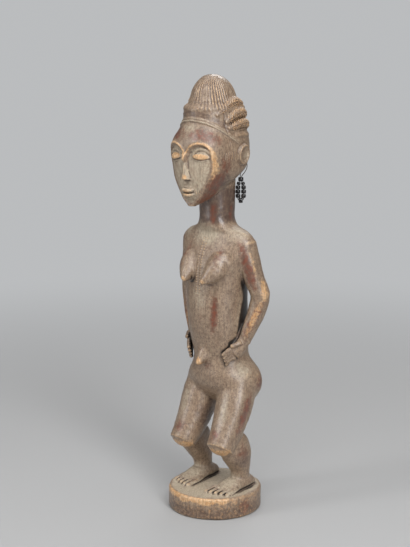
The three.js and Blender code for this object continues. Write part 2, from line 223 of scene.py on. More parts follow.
def make_bead(number, across, z, radius, lean, hole, material, around_count=28, profile_count=14):
    """A round wound bead with a softly rounded hole."""
    half = radius * 0.76
    middle = (radius + hole) / 2
    swell = (radius - hole) / 2
    rng = np.random.default_rng(number)
    wave = rng.uniform(0, 2 * math.pi, 3)
    places = []
    for i in range(around_count):
        angle = 2 * math.pi * i / around_count
        uneven = 1 - 0.02 - 0.02 * math.sin(angle * 2 + wave[0])
        for j in range(profile_count):
            turn = 2 * math.pi * j / profile_count
            c, s = math.cos(turn), math.sin(turn)
            out = middle + swell * math.copysign(abs(c) ** 0.8, c) * uneven
            up = half * math.copysign(abs(s) ** 0.9, s) * (1 - 0.03 * math.sin(angle + wave[1]))
            places.append((out * math.cos(angle), out * math.sin(angle), up))
    faces = []
    for i in range(around_count):
        for j in range(profile_count):
            k = (i + 1) % around_count
            m = (j + 1) % profile_count
            faces.append((i * profile_count + j, k * profile_count + j,
                          k * profile_count + m, i * profile_count + m))
    data = bpy.data.meshes.new(f"glass_{number}")
    axis = Vector(STRING_ACROSS) * math.sin(lean) + Vector((0, 0, math.cos(lean)))
    turn = Vector((0, 0, 1)).rotation_difference(axis)
    middle_place = Vector(on_string(across, z))
    data.from_pydata([(turn @ Vector(p) + middle_place) * MM for p in places], [], faces)
    data.shade_smooth()
    data.materials.append(material)
    bead = link(f"glass_bead_{number}", data)
    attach(bead, "root")
    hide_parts(f"bead_{number}")
    return bead


def make_bead_string(thread_material, glass):
    thread, route = make_thread(thread_material)
    beads = [make_bead(i + 1, *place, glass) for i, place in enumerate(bead_places())]


# Shapes of wood: each is a box and a distance, below zero inside

def through(places, values):
    """Smooth values through named stations, flat beyond the ends."""
    places = np.asarray(places, float)
    values = np.asarray(values, float)
    slopes = np.gradient(values, places, axis=0)

    def at(place):
        place = np.clip(np.asarray(place, float), places[0], places[-1])
        i = np.clip(np.searchsorted(places, place, side="right") - 1, 0, len(places) - 2)
        step = places[i + 1] - places[i]
        t = (place - places[i]) / step
        if values.ndim > 1:
            t = t[..., None]
            step = step[..., None]
        rise = t * t * (3 - 2 * t)
        out = t * (1 - t) ** 2
        back = t * t * (t - 1)
        return values[i] + rise * (values[i + 1] - values[i]) + step * (
            out * slopes[i] + back * slopes[i + 1])

    return at


def smooth_step(value, low, high):
    t = np.clip((value - low) / (high - low), 0, 1)
    return t * t * (3 - 2 * t)


def smooth_least(a, b, blend):
    t = np.clip(0.5 + 0.5 * (b - a) / blend, 0, 1)
    return b + (a - b) * t - blend * t * (1 - t)


def box_round(points, radius):
    points = np.asarray(points, float)
    return points.min(0) - radius - REACH, points.max(0) + radius + REACH


def column(rows):
    """Level sections; a row is z, x, y, half width, half depth, squareness in front and behind."""
    rows = np.array(rows, float)
    at = through(rows[:, 0], rows[:, 1:])
    low, high = rows[0, 0], rows[-1, 0]
    middles = rows[:, [1, 2, 0]]

    def distance(x, y, z):
        found = at(z).astype(np.float32)
        middle_x, middle_y, wide, deep, front, back = (found[..., i] for i in range(6))
        across = np.abs(x - middle_x)
        along = y - middle_y
        power = np.where(along < 0, front, back)
        share = ((across / wide) ** power + (np.abs(along) / deep) ** power) ** (1 / power)
        reach = np.hypot(across, along) + 0.001
        side = reach - reach / np.maximum(share, 0.0001)
        return np.maximum(side, np.maximum(low - z, z - high))

    return box_round(middles, rows[:, 3:5].max()), distance


def limb(points, ends=(0.9, 0.9), steps=10, power=2.0):
    """Along a smooth path; a point is x, y, z, half width, half depth."""
    points = np.array(points, float)
    travel = np.r_[0, np.cumsum(np.linalg.norm(np.diff(points[:, :3], axis=0), axis=1))]
    line = through(travel, points)(np.linspace(0, travel[-1], steps + 1))
    if len(points) == 2:
        line = points
    across = np.cross((0, 0, 1), line[-1, :3] - line[0, :3])
    if np.linalg.norm(across) < 0.05 * travel[-1]:
        across = np.array((1.0, 0, 0))
    caps = line[:, 3:5].min(axis=1)
    start_caps = caps[:-1].copy()
    end_caps = caps[1:].copy()
    start_caps[0] *= max(ends[0], 0.05)
    end_caps[-1] *= max(ends[1], 0.05)

    def span(start, end, start_cap, end_cap, x, y, z):
        way = end[:3] - start[:3]
        length = np.linalg.norm(way)
        tangent = way / length
        side = across - tangent * across.dot(tangent)
        side /= np.linalg.norm(side)
        up = np.cross(tangent, side)
        px, py, pz = x - start[0], y - start[1], z - start[2]
        along = px * tangent[0] + py * tangent[1] + pz * tangent[2]
        t = np.clip(along / length, 0, 1)
        a = px * side[0] + py * side[1] + pz * side[2]
        b = px * up[0] + py * up[1] + pz * up[2]
        c = along - t * length
        wide = start[3] + t * (end[3] - start[3])
        deep = start[4] + t * (end[4] - start[4])
        cap = np.where(c < 0, start_cap, end_cap)
        if power == 2:
            share = np.sqrt((a / wide) ** 2 + (b / deep) ** 2 + (c / cap) ** 2)
        else:
            share = (np.abs(a / wide) ** power + np.abs(b / deep) ** power
                     + np.abs(c / cap) ** power) ** (1 / power)
        reach = np.sqrt(a * a + b * b + c * c) + 0.001
        return reach - reach / np.maximum(share, 0.0001)

    def distance(x, y, z):
        best = None
        for row in zip(line[:-1], line[1:], start_caps, end_caps):
            found = span(*row, x, y, z)
            best = found if best is None else np.minimum(best, found)
        return best

    return box_round(line[:, :3], line[:, 3:5].max()), distance


def ball(x, y, z, radii, turn=0.0):
    """An egg turned about the upright axis."""
    c, s = math.cos(turn), math.sin(turn)

    def distance(px, py, pz):
        dx, dy, dz = px - x, py - y, pz - z
        a = dx * c + dy * s
        b = dy * c - dx * s
        share = np.sqrt((a / radii[0]) ** 2 + (b / radii[1]) ** 2 + (dz / radii[2]) ** 2)
        reach = np.sqrt(a * a + b * b + dz * dz) + 0.001
        return reach - reach / np.maximum(share, 0.0001)

    return box_round([(x, y, z)], max(radii)), distance


class Wood:
    """Distances to the carved surface on a grid, in millimetres."""

    def __init__(self, low, high, step):
        self.step = step
        self.low = np.array(low, float)
        self.axes = [np.arange(a, b + step, step, dtype=np.float32) for a, b in zip(low, high)]
        self.field = np.full([len(axis) for axis in self.axes], REACH, np.float32)

    def window(self, box):
        return tuple(
            slice(np.searchsorted(axis, a), np.searchsorted(axis, b))
            for axis, a, b in zip(self.axes, *box)
        )

    def places(self, region):
        x, y, z = (axis[part] for axis, part in zip(self.axes, region))
        return x[:, None, None], y[None, :, None], z[None, None, :]

    def join(self, shape, blend=1.0):
        box, distance = shape
        region = self.window(box)
        found = distance(*self.places(region)).astype(np.float32)
        self.field[region] = smooth_least(self.field[region], found, blend)

    def cut(self, shape, blend=0.5):
        box, distance = shape
        region = self.window(box)
        found = distance(*self.places(region)).astype(np.float32)
        self.field[region] = -smooth_least(-self.field[region], found, blend)

    def sample(self, points):
        """Distances at any points."""
        shape = np.array(self.field.shape)
        place = np.clip((points - self.low) / self.step, 0, shape - 1.001)
        i = place.astype(int)
        t = place - i
        total = np.zeros(len(points))
        for a in (0, 1):
            for b in (0, 1):
                for c in (0, 1):
                    weight = (np.abs(1 - a - t[:, 0]) * np.abs(1 - b - t[:, 1])
                              * np.abs(1 - c - t[:, 2]))
                    total += weight * self.field[i[:, 0] + a, i[:, 1] + b, i[:, 2] + c]
        return total


def surface(wood):
    """The closed skin where the distance is zero: one point per mixed cell, one quad per crossing."""
    field = wood.field
    inside = field < 0
    size = [n - 1 for n in field.shape]
    count = np.zeros(size, np.uint8)
    for a in (0, 1):
        for b in (0, 1):
            for c in (0, 1):
                count += inside[a:a + size[0], b:b + size[1], c:c + size[2]]
    mixed = (count > 0) & (count < 8)
    cells = np.argwhere(mixed)
    index = np.full(size, -1, np.int32)
    index[mixed] = np.arange(len(cells))
    total = np.zeros((len(cells), 3))
    hits = np.zeros(len(cells))
    for axis in range(3):
        one = np.eye(3, dtype=int)[axis]
        others = [np.eye(3, dtype=int)[i] for i in range(3) if i != axis]
        for a in (0, 1):
            for b in (0, 1):
                start = a * others[0] + b * others[1]
                first = field[tuple((cells + start).T)]
                last = field[tuple((cells + start + one).T)]
                crossing = (first < 0) != (last < 0)
                t = first[crossing] / (first[crossing] - last[crossing])
                total[crossing] += start + t[:, None] * one
                hits[crossing] += 1
    points = wood.low + wood.step * (cells + total / hits[:, None])
    quads = []
    for axis in range(3):
        one = np.eye(3, dtype=int)[axis]
        u, v = (np.eye(3, dtype=int)[(axis + 1) % 3], np.eye(3, dtype=int)[(axis + 2) % 3])
        low = [slice(1, -1)] * 3
        low[axis] = slice(0, -1)
        high = [slice(1, -1)] * 3
        high[axis] = slice(1, None)
        before, after = inside[tuple(low)], inside[tuple(high)]
        offset = np.array([1, 1, 1]) - one
        for going_out in (True, False):
            change = before & ~after if going_out else ~before & after
            edges = np.argwhere(change) + offset
            ring = [edges - u - v, edges - v, edges, edges - u]
            if not going_out:
                ring = ring[::-1]
            quads.append(np.stack([index[tuple(corner.T)] for corner in ring], axis=1))
    return points, np.concatenate(quads)


# The figure's parts

def base_shape():
    rounding = 2.6

    def distance(x, y, z):
        out = np.hypot(x, y) - BASE_RADIUS + rounding
        up = np.abs(z - BASE_TOP / 2) - BASE_TOP / 2 + rounding
        corner = np.hypot(np.maximum(out, 0), np.maximum(up, 0))
        return corner + np.minimum(np.maximum(out, up), 0) - rounding

    return box_round([(0, 0, 0), (0, 0, BASE_TOP)], BASE_RADIUS), distance


def add_foot(wood, sign, foot_out, **_):
    def across(out):
        return sign * (out + foot_out * 0.5)

    wood.join(limb([
        (across(23.5), 25, 25, 7.5, 6), (across(24), 14, 27.5, 10.2, 9),
        (across(23.8), 2, 26.5, 11.2, 8.5), (across(23.2), -8, 24.5, 12.8, 6),
        (across(22.8), -16, 23, 13.6, 3.6),
    ], ends=(0.8, 0.5), steps=8), blend=1.6)
    toes = 5
    for toe in range(toes):
        share = toe / (toes - 1)
        spread = 11.6 + 22.4 * share
        reach = -26.5 + 6 * share ** 1.6
        size = 2.7 - 0.6 * share
        wood.join(limb([
            (across(spread * 0.97 + 0.5), -13, 24.6, size, size),
            (across(spread), reach, 23.4, size, size),
        ], ends=(0.2, 0.9)), blend=0.5)


def add_lower_leg(wood, sign, knee_drop, foot_out, **_):
    top = 83 - knee_drop
    rows = [
        (24, 23.5 + foot_out * 0.5, 11, 9.6, 11.5), (34, 24.3 + foot_out * 0.5, 10.4, 9.2, 10),
        (41, 25 + foot_out * 0.4, 9.4, 9.6, 10.8), (50, 26.4, 5.8, 11.2, 14.8),
        (59, 27.2, 2.4, 12, 18.6), (67, 27, -0.2, 11.8, 19.6),
        (top - 6, 26, -0.4, 9.6, 13.4), (top, 25.6, -1, 5, 6),
    ]
    wood.join(column([(z, sign * x, y, a, b, 2, 2) for z, x, y, a, b in rows]), blend=2.2)


def add_thigh(wood, sign, knee_drop, **_):
    knee = KNEE_Z - knee_drop
    wood.join(limb([
        (sign * 20.5, 14, HIP_Z + 7, 17, 18), (sign * 22.8, 6.6, HIP_Z - 11, 18.4, 19),
        (sign * 24.2, -4.4, knee + 20, 16.6, 17.2), (sign * KNEE_X, -18.5, knee - 1, 13.8, 13.6),
        (sign * (KNEE_X + 0.2), -21, knee - 4.5, 13.4, 13.2),
    ], ends=(0.6, 0.24), steps=10, power=2.2), blend=3)


def add_torso(wood):
    rows = [
        (111, 14, 20, 13), (120, 13.5, 31, 21), (HIP_Z, 12.5, HIP_HALF, 26),
        (140, 11.4, HIP_HALF - 0.2, 27.6), (149, 10.8, 31.6, 26.6),
        (WAIST_Z, 10.2, WAIST_HALF, 25.6), (172, 8, WAIST_HALF + 0.2, 27.2),
        (BELLY_Z, 5.6, 29.8, 29), (212, 3.8, 30.6, 28.8), (232, 3.4, 32, 27.6),
        (CHEST_Z, 3.4, 36, 26), (264, 4, 41, 23.6), (SHOULDER_Z, 5, SHOULDER_HALF, 20.6),
        (281, 6, 42.5, 17.6), (287, 5.6, 35, 16), (NECK_Z + 1.5, 4, 23, 16.8),
        (297, 3.2, 18, NECK_RADIUS), (310, 3, NECK_RADIUS, NECK_RADIUS),
        (338, 1.5, NECK_RADIUS + 0.8, NECK_RADIUS + 2),
    ]
    wood.join(column([(z, 0, y, a, b, 2.2, 2.1) for z, y, a, b in rows]), blend=1)
    for side in SIDES:
        wood.join(ball(side["sign"] * 19, 20.5, HIP_Z + 1, (19.5, 20, 22)), blend=11)
    wood.join(limb([
        (-0.6, -12, NAVEL_Z + 8, 9, 9.6), (-0.8, -19, NAVEL_Z + 2.6, 5.4, 5.2),
        (-1, -24.6, NAVEL_Z - 1, 2.2, 2.2),
    ], ends=(0.1, 0.8), steps=7), blend=3.5)


def add_breast(wood, sign, **_):
    wood.join(limb([
        (sign * 19.4, -9, NIPPLE_Z + 20, 10, 11), (sign * 18, -16, NIPPLE_Z + 11.6, 10.8, 11.4),
        (sign * 15, -25, NIPPLE_Z + 4, 7.4, 7.6), (sign * 12.4, -32.4, NIPPLE_Z - 0.5, 2.8, 2.8),
    ], ends=(0.1, 0.8), steps=9), blend=2.2)


def add_arm(wood, sign, arm_out, **_):
    wood.join(limb([
        (sign * 33, 7, SHOULDER_Z + 1, 11.5, 12), (sign * 37.2, 8.4, 259, 10.6, 12),
        (sign * (41.2 + arm_out * 0.6), 12.4, 240, 9.8, 10.6),
        (sign * (ELBOW_X + arm_out), 16.4, 224, 9.4, 9.8),
        (sign * (43.2 + arm_out), 14.6, 210, 9, 9.4),
        (sign * (38.4 + arm_out * 0.6), 10.2, 193, 7.6, 8.2), (sign * 33.6, 6, 178, 6.2, 6.4),
    ], ends=(0.5, 0.3), steps=14), blend=3)


def add_hand(wood, sign, **_):
    wood.join(limb([
        (sign * 34, 6.4, 179, 6, 6.2), (sign * 32.4, 1.4, 173, 4.8, 7.2),
        (sign * 29.4, -4.2, 166.4, 4, 7.8),
    ], ends=(0.4, 0.5), steps=6), blend=1.4)
    fingers = 4
    for finger in range(fingers):
        drop = 3.5 * finger
        wood.join(limb([
            (sign * (31 - 0.5 * finger), -3.4, 172.4 - drop, 2.3, 2.4),
            (sign * (27.4 - 0.4 * finger), -9 + 0.4 * finger, 170.2 - drop, 2.3, 2.2),
            (sign * (23.4 + 0.2 * finger), -14 + 1.5 * finger, 165.6 - drop, 1.9, 1.8),
        ], ends=(0.4, 0.9), steps=5), blend=0.7)
    wood.join(limb([
        (sign * 34.6, -1.6, 177, 2.8, 2.8), (sign * 30.6, -8.6, 174.4, 2.2, 2.1),
    ], ends=(0.6, 0.9)), blend=1)


# The face: a heart-shaped hollow under arched brows. Lines are across and up, from the eyes.
FACE_EDGE = [
    (0, -1), (1.6, 4.4), (4, 9), (9, 12.8), (16, 14.6), (22.4, 13), (26.2, 8), (27.4, -1),
    (26.4, -11), (22.6, -21), (15.6, -33.4), (9.4, -41), (4, -45.8), (0, -46.8),
]
LID_FOLD = [(6.4, 2), (9.6, 6), (14, 8.6), (19, 9), (23.4, 6.8), (26, 3)]
EYE_X = 16.4
EYE_UP = 1.2
EYE_HALF = 9
EYE_TALL = 3.9
FAR_EYE_DROP = 1.2
NOSE_LOW = -20.3
LIP_HALF = 7.6
LIP_LINE = -33.4
LIP_PLACES = ((-31.1, 2.3, 3.4), (-36, 2.4, 3.0))


def near_line(u, v, points):
    """Distance to a broken line, and the share of the way along it."""
    points = np.array(points, float)
    steps = np.linalg.norm(np.diff(points, axis=0), axis=1)
    travel = np.r_[0, np.cumsum(steps)]
    best = np.full(np.broadcast(u, v).shape, 1e9)
    share = np.zeros_like(best)
    for i in range(len(points) - 1):
        way = points[i + 1] - points[i]
        t = ((u - points[i, 0]) * way[0] + (v - points[i, 1]) * way[1]) / way.dot(way)
        t = np.clip(t, 0, 1)
        found = np.hypot(u - points[i, 0] - t * way[0], v - points[i, 1] - t * way[1])
        closer = found < best
        best = np.where(closer, found, best)
        share = np.where(closer, (travel[i] + t * steps[i]) / travel[-1], share)
    return best, share


def within(u, v, points):
    """Whether a place is inside a closed outline."""
    odd = np.zeros(np.broadcast(u, v).shape, bool)
    for (u0, v0), (u1, v1) in zip(points, [*points[1:], points[0]]):
        if v0 == v1:
            continue
        crosses = (v0 > v) != (v1 > v)
        odd ^= crosses & (u < (u1 - u0) * (v - v0) / (v1 - v0) + u0)
    return odd


def bump(distance, half):
    return np.exp(-(distance / half) ** 2)


def face_edge_distance(side, up):
    """Below zero inside the heart-shaped hollow."""
    edge = smooth_route(FACE_EDGE, 5)
    outline = [(-1.0, edge[0][1]), *[tuple(p) for p in edge], (-1.0, edge[-1][1])]
    distance, _ = near_line(side, up, edge)
    return np.where(within(side, up, outline), -distance, distance)


def face_relief(x, z):
    """How far the face stands out from the plain head."""
    side = np.abs(x)
    up = z - EYE_Z
    edge = face_edge_distance(side, up)
    relief = -2.3 * smooth_step(-edge, 0.3, 3.6) + 1.1 * bump(edge, 1.3)
    eye_up = up - EYE_UP + np.where(x < 0, FAR_EYE_DROP, 0)
    fold, along = near_line(side, eye_up + EYE_UP, smooth_route(LID_FOLD, 4))
    ends = smooth_step(along, 0, 0.12) * smooth_step(-along, -1, -0.88)
    relief += (1.1 * bump(fold, 1.1) - 0.5 * bump(fold - 1.9, 0.7)) * ends
    across = side - EYE_X
    tilt = eye_up + 0.04 * across
    egg = (across / EYE_HALF) ** 2 + (tilt / EYE_TALL) ** 2
    relief += 2.7 * np.clip(1 - egg, 0, 1) ** 0.55
    slit = tilt + 2.3 - 0.026 * across ** 2
    relief -= 1.5 * bump(slit, 0.6) * smooth_step(-np.abs(across), -EYE_HALF - 0.4, -EYE_HALF + 1.4)
    wide = through([NOSE_LOW, -17.5, -13, -5, 5], [5, 4.4, 2.8, 2, 2.3])(up)
    tall = through([NOSE_LOW, -14, -5, 5], [6.4, 5.2, 3.9, 2.8])(up)
    shape = np.clip(1 - (side / wide) ** 2, 0, 1) ** 0.6
    nose = tall * shape * smooth_step(up, NOSE_LOW - 0.8, NOSE_LOW + 0.4) * smooth_step(-up, -8, -3)
    relief = np.maximum(relief, relief + nose)
    relief += 1.3 * smooth_step(-np.hypot(side / 10.5, (up - LIP_LINE) / 7.4), -1, -0.55)
    for middle, half, stand in LIP_PLACES:
        lip = (side / LIP_HALF) ** 2 + ((up - middle - 0.02 * side ** 2) / half) ** 2
        relief += stand * np.clip(1 - lip, 0, 1) ** 0.45
    line = (side < LIP_HALF) * bump(up - LIP_LINE - 0.02 * side ** 2, 0.5)
    return relief - 0.8 * line


def hairline_height(x, y):
    """Height of the hairline on the head, highest in front."""
    turn = np.abs(np.arctan2(x, -(y + 4)))
    return through([0, 0.5, 0.95, 1.35, 1.75, 2.2], [397, 394.6, 388.6, 380.6, 373, 368])(turn)


def hairline_relief(x, y, z):
    """A double raised line between the forehead and the band of hair."""
    above = z - hairline_height(x, y)
    sides = smooth_step(-y, -4, 4)
    forehead = -0.5 * smooth_step(-above, 0.6, 2) * smooth_step(above, -12, -5)
    return sides * (1.0 * bump(above, 0.85) + 0.8 * bump(above - 2.3, 0.75) + forehead)


EAR_PLACE = (8.2, 363.2)
EAR_HALF = (10, 10.2)


def ear_rim_distance(y, z):
    """Below zero inside the ear's rounded outline."""
    back = (y - EAR_PLACE[0]) / EAR_HALF[0]
    up = (z - EAR_PLACE[1]) / EAR_HALF[1]
    return (np.hypot(back, up) - 1) * EAR_HALF[0]


def ear_relief(x, y, z):
    rim = ear_rim_distance(y, z)
    plate = 1.3 * smooth_step(-rim, -0.5, 0.8) + 1.3 * bump(rim + 1.5, 1.2)
    hollow = 0.9 * smooth_step(-rim, 3, 5.4) + 0.7 * bump(rim - 1, 0.7)
    return (np.abs(x) > 20) * (plate - hollow)


def face_crease_shade(x, y, z):
    """Painted shade: dark lines under the lids, between the lips, at the sides of the nose and under it."""
    side, up = np.abs(x), z - EYE_Z
    eye_up = up - EYE_UP + np.where(x < 0, FAR_EYE_DROP, 0)
    across = side - EYE_X
    slit = bump(eye_up + 0.04 * across + 2.3 - 0.026 * across ** 2, 0.75)
    slit = slit * smooth_step(-np.abs(across), -EYE_HALF - 0.4, -EYE_HALF + 1)
    lips = (side < LIP_HALF) * bump(up - LIP_LINE - 0.02 * side ** 2, 0.7)
    nose = bump(side - 3.4, 0.8) * smooth_step(up, NOSE_LOW + 1, -14) * smooth_step(-up, 2, 6)
    under_nose = (side < 5) * bump(up - NOSE_LOW + 0.6, 0.7)
    return (y < -28) * np.clip(slit + 0.9 * lips + 0.45 * nose + 0.7 * under_nose, 0, 1)


def add_head(wood):
    rows = [
        (CHIN_Z, -32.8, 3.4, 3.2, 2.2), (319.5, -26.6, 10.4, 11.6, 2.6), (326, -22.4, 15.6, 18.2, 2.8),
        (334, -16, 21.6, 25.8, 3), (340, -12.4, 25.2, 30.2, 3.1), (347, -7.6, 28.2, 35.6, 3.2),
        (356, -5.4, 30.2, 38.2, 3.3), (366, -4.8, HEAD_HALF, 38.4, 3.3), (377, -4.6, 30.8, 38.2, 3),
        (387, -3.8, 28.2, 35.2, 2.5), (HAIRLINE_Z + 3, -3, 26, 32, 2.2),
        (HAIRLINE_Z + 11, -3, 26, 31.8, 2), (HAIRLINE_Z + 17, -3, 24.4, 30.4, 2),
        (HAIRLINE_Z + 20, -3, 19, 24, 2),
    ]
    box, plain = column([(z, 0, y, a, b, front, 2.4) for z, y, a, b, front in rows])

    def distance(x, y, z):
        shifted = plain(x, y + face_relief(x, z) * smooth_step(-y, 20, 30), z)
        return shifted - hairline_relief(x, y, z) - ear_relief(x, y, z)

    wood.join((box, distance), blend=1.6)


def crest_shape():
    """The tall egg of hair, leaning back a little."""
    bottom = HAIRLINE_Z + 13
    height = CREST_TOP_Z - bottom

    def distance(x, y, z):
        rise = (np.clip(z - bottom, 0, None) / height) ** (1 / 0.85)
        share = np.sqrt((x / 22.5) ** 2 + ((y + 2.5 + 1.5 * rise) / 25) ** 2 + (0.99 * rise) ** 1.9)
        return np.maximum((share - 1) * 22, bottom - 8 - z)

    return box_round([(0, 0, bottom), (0, 0, CREST_TOP_Z)], 25), distance


PLAITS = [
    dict(path=[(20.6, -21, 401), (21.4, -9, 409.4), (20.6, 3, 413.6), (17.4, 14, 411), (9, 23, 410)],
         sizes=(2.6, 4.6, 5.4, 5, 4)),
    dict(path=[(24.6, -13, 394.6), (25, -4, 400.6), (23.4, 8, 404), (18.6, 18.6, 401.6), (9, 26, 401)],
         sizes=(2.6, 4.6, 5.2, 5, 4)),
    dict(path=[(26.6, -11.4, 388.6), (27, -2, 391.6), (25.4, 10, 393.4), (20, 20.6, 391.6), (9, 28, 391)],
         sizes=(2.6, 4.2, 5, 5, 4)),
    dict(path=[(27.6, -8, 380.4), (27.6, 2, 382), (24.6, 14, 382), (18, 23, 380.4), (9, 29, 380)],
         sizes=(2.4, 3.8, 4.6, 4.4, 3.6)),
]
PLAITED = 3


def plait_points(sign, path, sizes):
    return [(sign * x, y, z, size * 0.92, size) for (x, y, z), size in zip(path, sizes)]


def add_hair(wood):
    wood.join(crest_shape(), blend=7)
    for side in SIDES:
        for plait in PLAITS:
            wood.join(limb(plait_points(side["sign"], **plait), ends=(0.6, 0.7), steps=14), blend=0.6)


def carve_wood():
    low, high = (np.array(corner) / MM for corner in CAD_BOX)
    wood = Wood(low - 3, high + 3, VOXEL)
    add_torso(wood)
    for side in SIDES:
        add_thigh(wood, **side)
        add_arm(wood, **side)
        add_hand(wood, **side)
        add_breast(wood, **side)
        add_lower_leg(wood, **side)
        add_foot(wood, **side)
    wood.join(base_shape(), blend=1.0)
    add_head(wood)
    add_hair(wood)
    way = (HOLE_BEHIND - HOLE_BELOW) * 0.6
    wood.cut(limb([(*(HOLE_BELOW - way), HOLE_RADIUS, HOLE_RADIUS),
                   (*(HOLE_BEHIND + way), HOLE_RADIUS, HOLE_RADIUS)]), blend=0.3)
    return wood


# Fine carving, as a distance along the skin's own normal

def noise(points, size, seed):
    """Smooth values from -1 to 1 that change over about the size."""
    cells = 32
    lattice = np.random.default_rng(seed).uniform(-1, 1, (cells, cells, cells))
    place = points / size
    i = np.floor(place).astype(int)
    t = place - i
    t = t * t * (3 - 2 * t)
    total = np.zeros(len(points))
    for a in (0, 1):
        for b in (0, 1):
            for c in (0, 1):
                weight = (np.abs(1 - a - t[:, 0]) * np.abs(1 - b - t[:, 1])
                          * np.abs(1 - c - t[:, 2]))
                total += weight * lattice[(i[:, 0] + a) % cells, (i[:, 1] + b) % cells,
                                          (i[:, 2] + c) % cells]
    return total


def crest_grooves(points):
    """Uneven grooves fanning up the crest, -1 at the bottom of each to 1."""
    x, y, z = points.T
    bottom = HAIRLINE_Z + 10
    rise = np.clip(z - bottom, 0, None) / (CREST_TOP_Z - bottom)
    on_crest = smooth_step(z, bottom, bottom + 6)
    clear_of_top = smooth_step(np.hypot(x, y + 4), 3.5, 10)
    turn = np.arctan2(x, -(y + 2.5 + 1.5 * rise)) + 0.004 * (z - bottom) * np.sign(x)
    grooves = 50
    crooked = 0.9 * noise(points * (1, 1, 0.25), 6, 21)
    depth = 0.35 + 0.65 * smooth_step(noise(points * (1, 1, 0.3), 8, 22), -0.4, 0.4)
    behind = 1 - 0.35 * smooth_step(np.abs(turn), 1.0, 1.7)
    return np.cos(turn * grooves + crooked) * depth * behind * on_crest * clear_of_top, on_crest


def plait_marks(points):
    """Chevrons cut in each plait, and how surely a point is on one."""
    cut = np.zeros(len(points))
    on_plait = np.zeros(len(points))
    for side in SIDES:
        for plait in PLAITS[:PLAITED]:
            stations = np.array(plait_points(side["sign"], **plait))
            travel = np.r_[0, np.cumsum(np.linalg.norm(np.diff(stations[:, :3], axis=0), axis=1))]
            line = through(travel, stations)(np.linspace(0, travel[-1], 17))
            reach = np.full(len(points), 1e9)
            along = np.zeros(len(points))
            offset = np.zeros(len(points))
            for i in range(len(line) - 1):
                way = line[i + 1, :3] - line[i, :3]
                length = np.linalg.norm(way)
                tangent = way / length
                outward = np.array((line[i, 0], line[i, 1] + 3, 0))
                up = np.cross(outward / np.linalg.norm(outward), tangent) * side["sign"]
                apart = points - line[i, :3]
                t = np.clip(apart @ tangent, 0, length)
                apart = apart - t[:, None] * tangent
                found = np.linalg.norm(apart, axis=1)
                closer = found < reach
                reach = np.where(closer, found, reach)
                along = np.where(closer, i * length + t, along)
                offset = np.where(closer, apart @ up, offset)
            size = through(travel, np.array(plait["sizes"]))(along)
            here = smooth_step(-reach, -size * 1.2, -size * 1.02) * smooth_step(along, 1, 5)
            pitch = 2.4
            crooked = 0.35 * noise(points, 4, 23)
            chevron = np.cos(2 * math.pi * (along - 1.1 * np.abs(offset) + crooked) / pitch)
            spine = bump(offset, 0.5)
            better = here > on_plait
            cut = np.where(better, here * (0.55 * chevron - 0.6 * spine), cut)
            on_plait = np.maximum(on_plait, here)
    return cut, on_plait


def ladder_marks(points):
    """Two rows of small raised dashes down the middle of the chest."""
    x, y, z = points.T
    low, high = 222, 281
    middle = -1.0
    here = (y < -5) * smooth_step(z, low, low + 1) * smooth_step(-z, -high, -high + 1)
    rows = sum(bump(x - middle - side * 2.1, 1.15) for side in (1, -1))
    dashes = 0.5 + 0.5 * np.cos(2 * math.pi * z / 2.5)
    return here * rows * dashes, here * bump(x - middle, 4.2)


def temple_marks(points):
    """A row of short upright strokes between the face and each ear."""
    x, y, z = points.T
    here = (np.abs(x) > 20) * smooth_step(-np.abs(z - EYE_Z - 2), -4.6, -3.2)
    here = here * smooth_step(y, -22.5, -21.5) * smooth_step(-y, 2, 3)
    return here * np.cos(2 * math.pi * y / 2.7)


def mouth_marks(points):
    """Small strokes beside the mouth."""
    x, y, z = points.T
    side = np.abs(x)
    here = (y < -30) * bump(z - EYE_Z + 32.5, 2.6) * smooth_step(side, 8, 8.6) * smooth_step(-side, -14, -13.4)
    return here * np.cos(2 * math.pi * side / 1.9)


def toe_grooves(points):
    """Lines cut back from between the toes."""
    x, y, z = points.T
    total = np.zeros(len(points))
    for side in SIDES:
        for gap in range(4):
            share = (gap + 0.5) / 4
            middle = side["sign"] * (11.6 + 22.4 * share + side["foot_out"] * 0.5)
            near = bump(x - middle * (1 + 0.004 * (y + 20)), 0.6)
            total += near * smooth_step(-y, 6, 12) * (z > BASE_TOP + 0.8) * (z < 34)
    return total


def long_crack(points, start, end, width, wander, seed):
    """A thin split in the wood from one place to another, a little crooked."""
    start, end = np.array(start, float), np.array(end, float)
    way = end - start
    length = np.linalg.norm(way)
    way = way / length
    shifted = points + wander * noise(points, 5, seed)[:, None]
    along = np.clip((shifted - start) @ way, 0, length)
    apart = np.linalg.norm(shifted - start - along[:, None] * way, axis=1)
    taper = np.sin(math.pi * np.clip(along / length, 0.04, 0.96)) ** 0.5
    return bump(apart, width * (0.35 + 0.65 * taper))


CRACKS = [
    ((23.4, -15.4, 405), (30.8, -13, 371), 0.75, 0.8, 11),
    ((45.2, -14.6, 21.5), (45.4, -14.2, 3), 0.8, 0.6, 12),
    ((-46, 12, 20), (-46, 13.5, 6), 0.7, 0.8, 13),
    ((6, 46.5, 22), (4, 46.8, 8), 0.7, 0.8, 14),
]


def crack_marks(points):
    return np.clip(sum(long_crack(points, *crack) for crack in CRACKS), 0, 1)


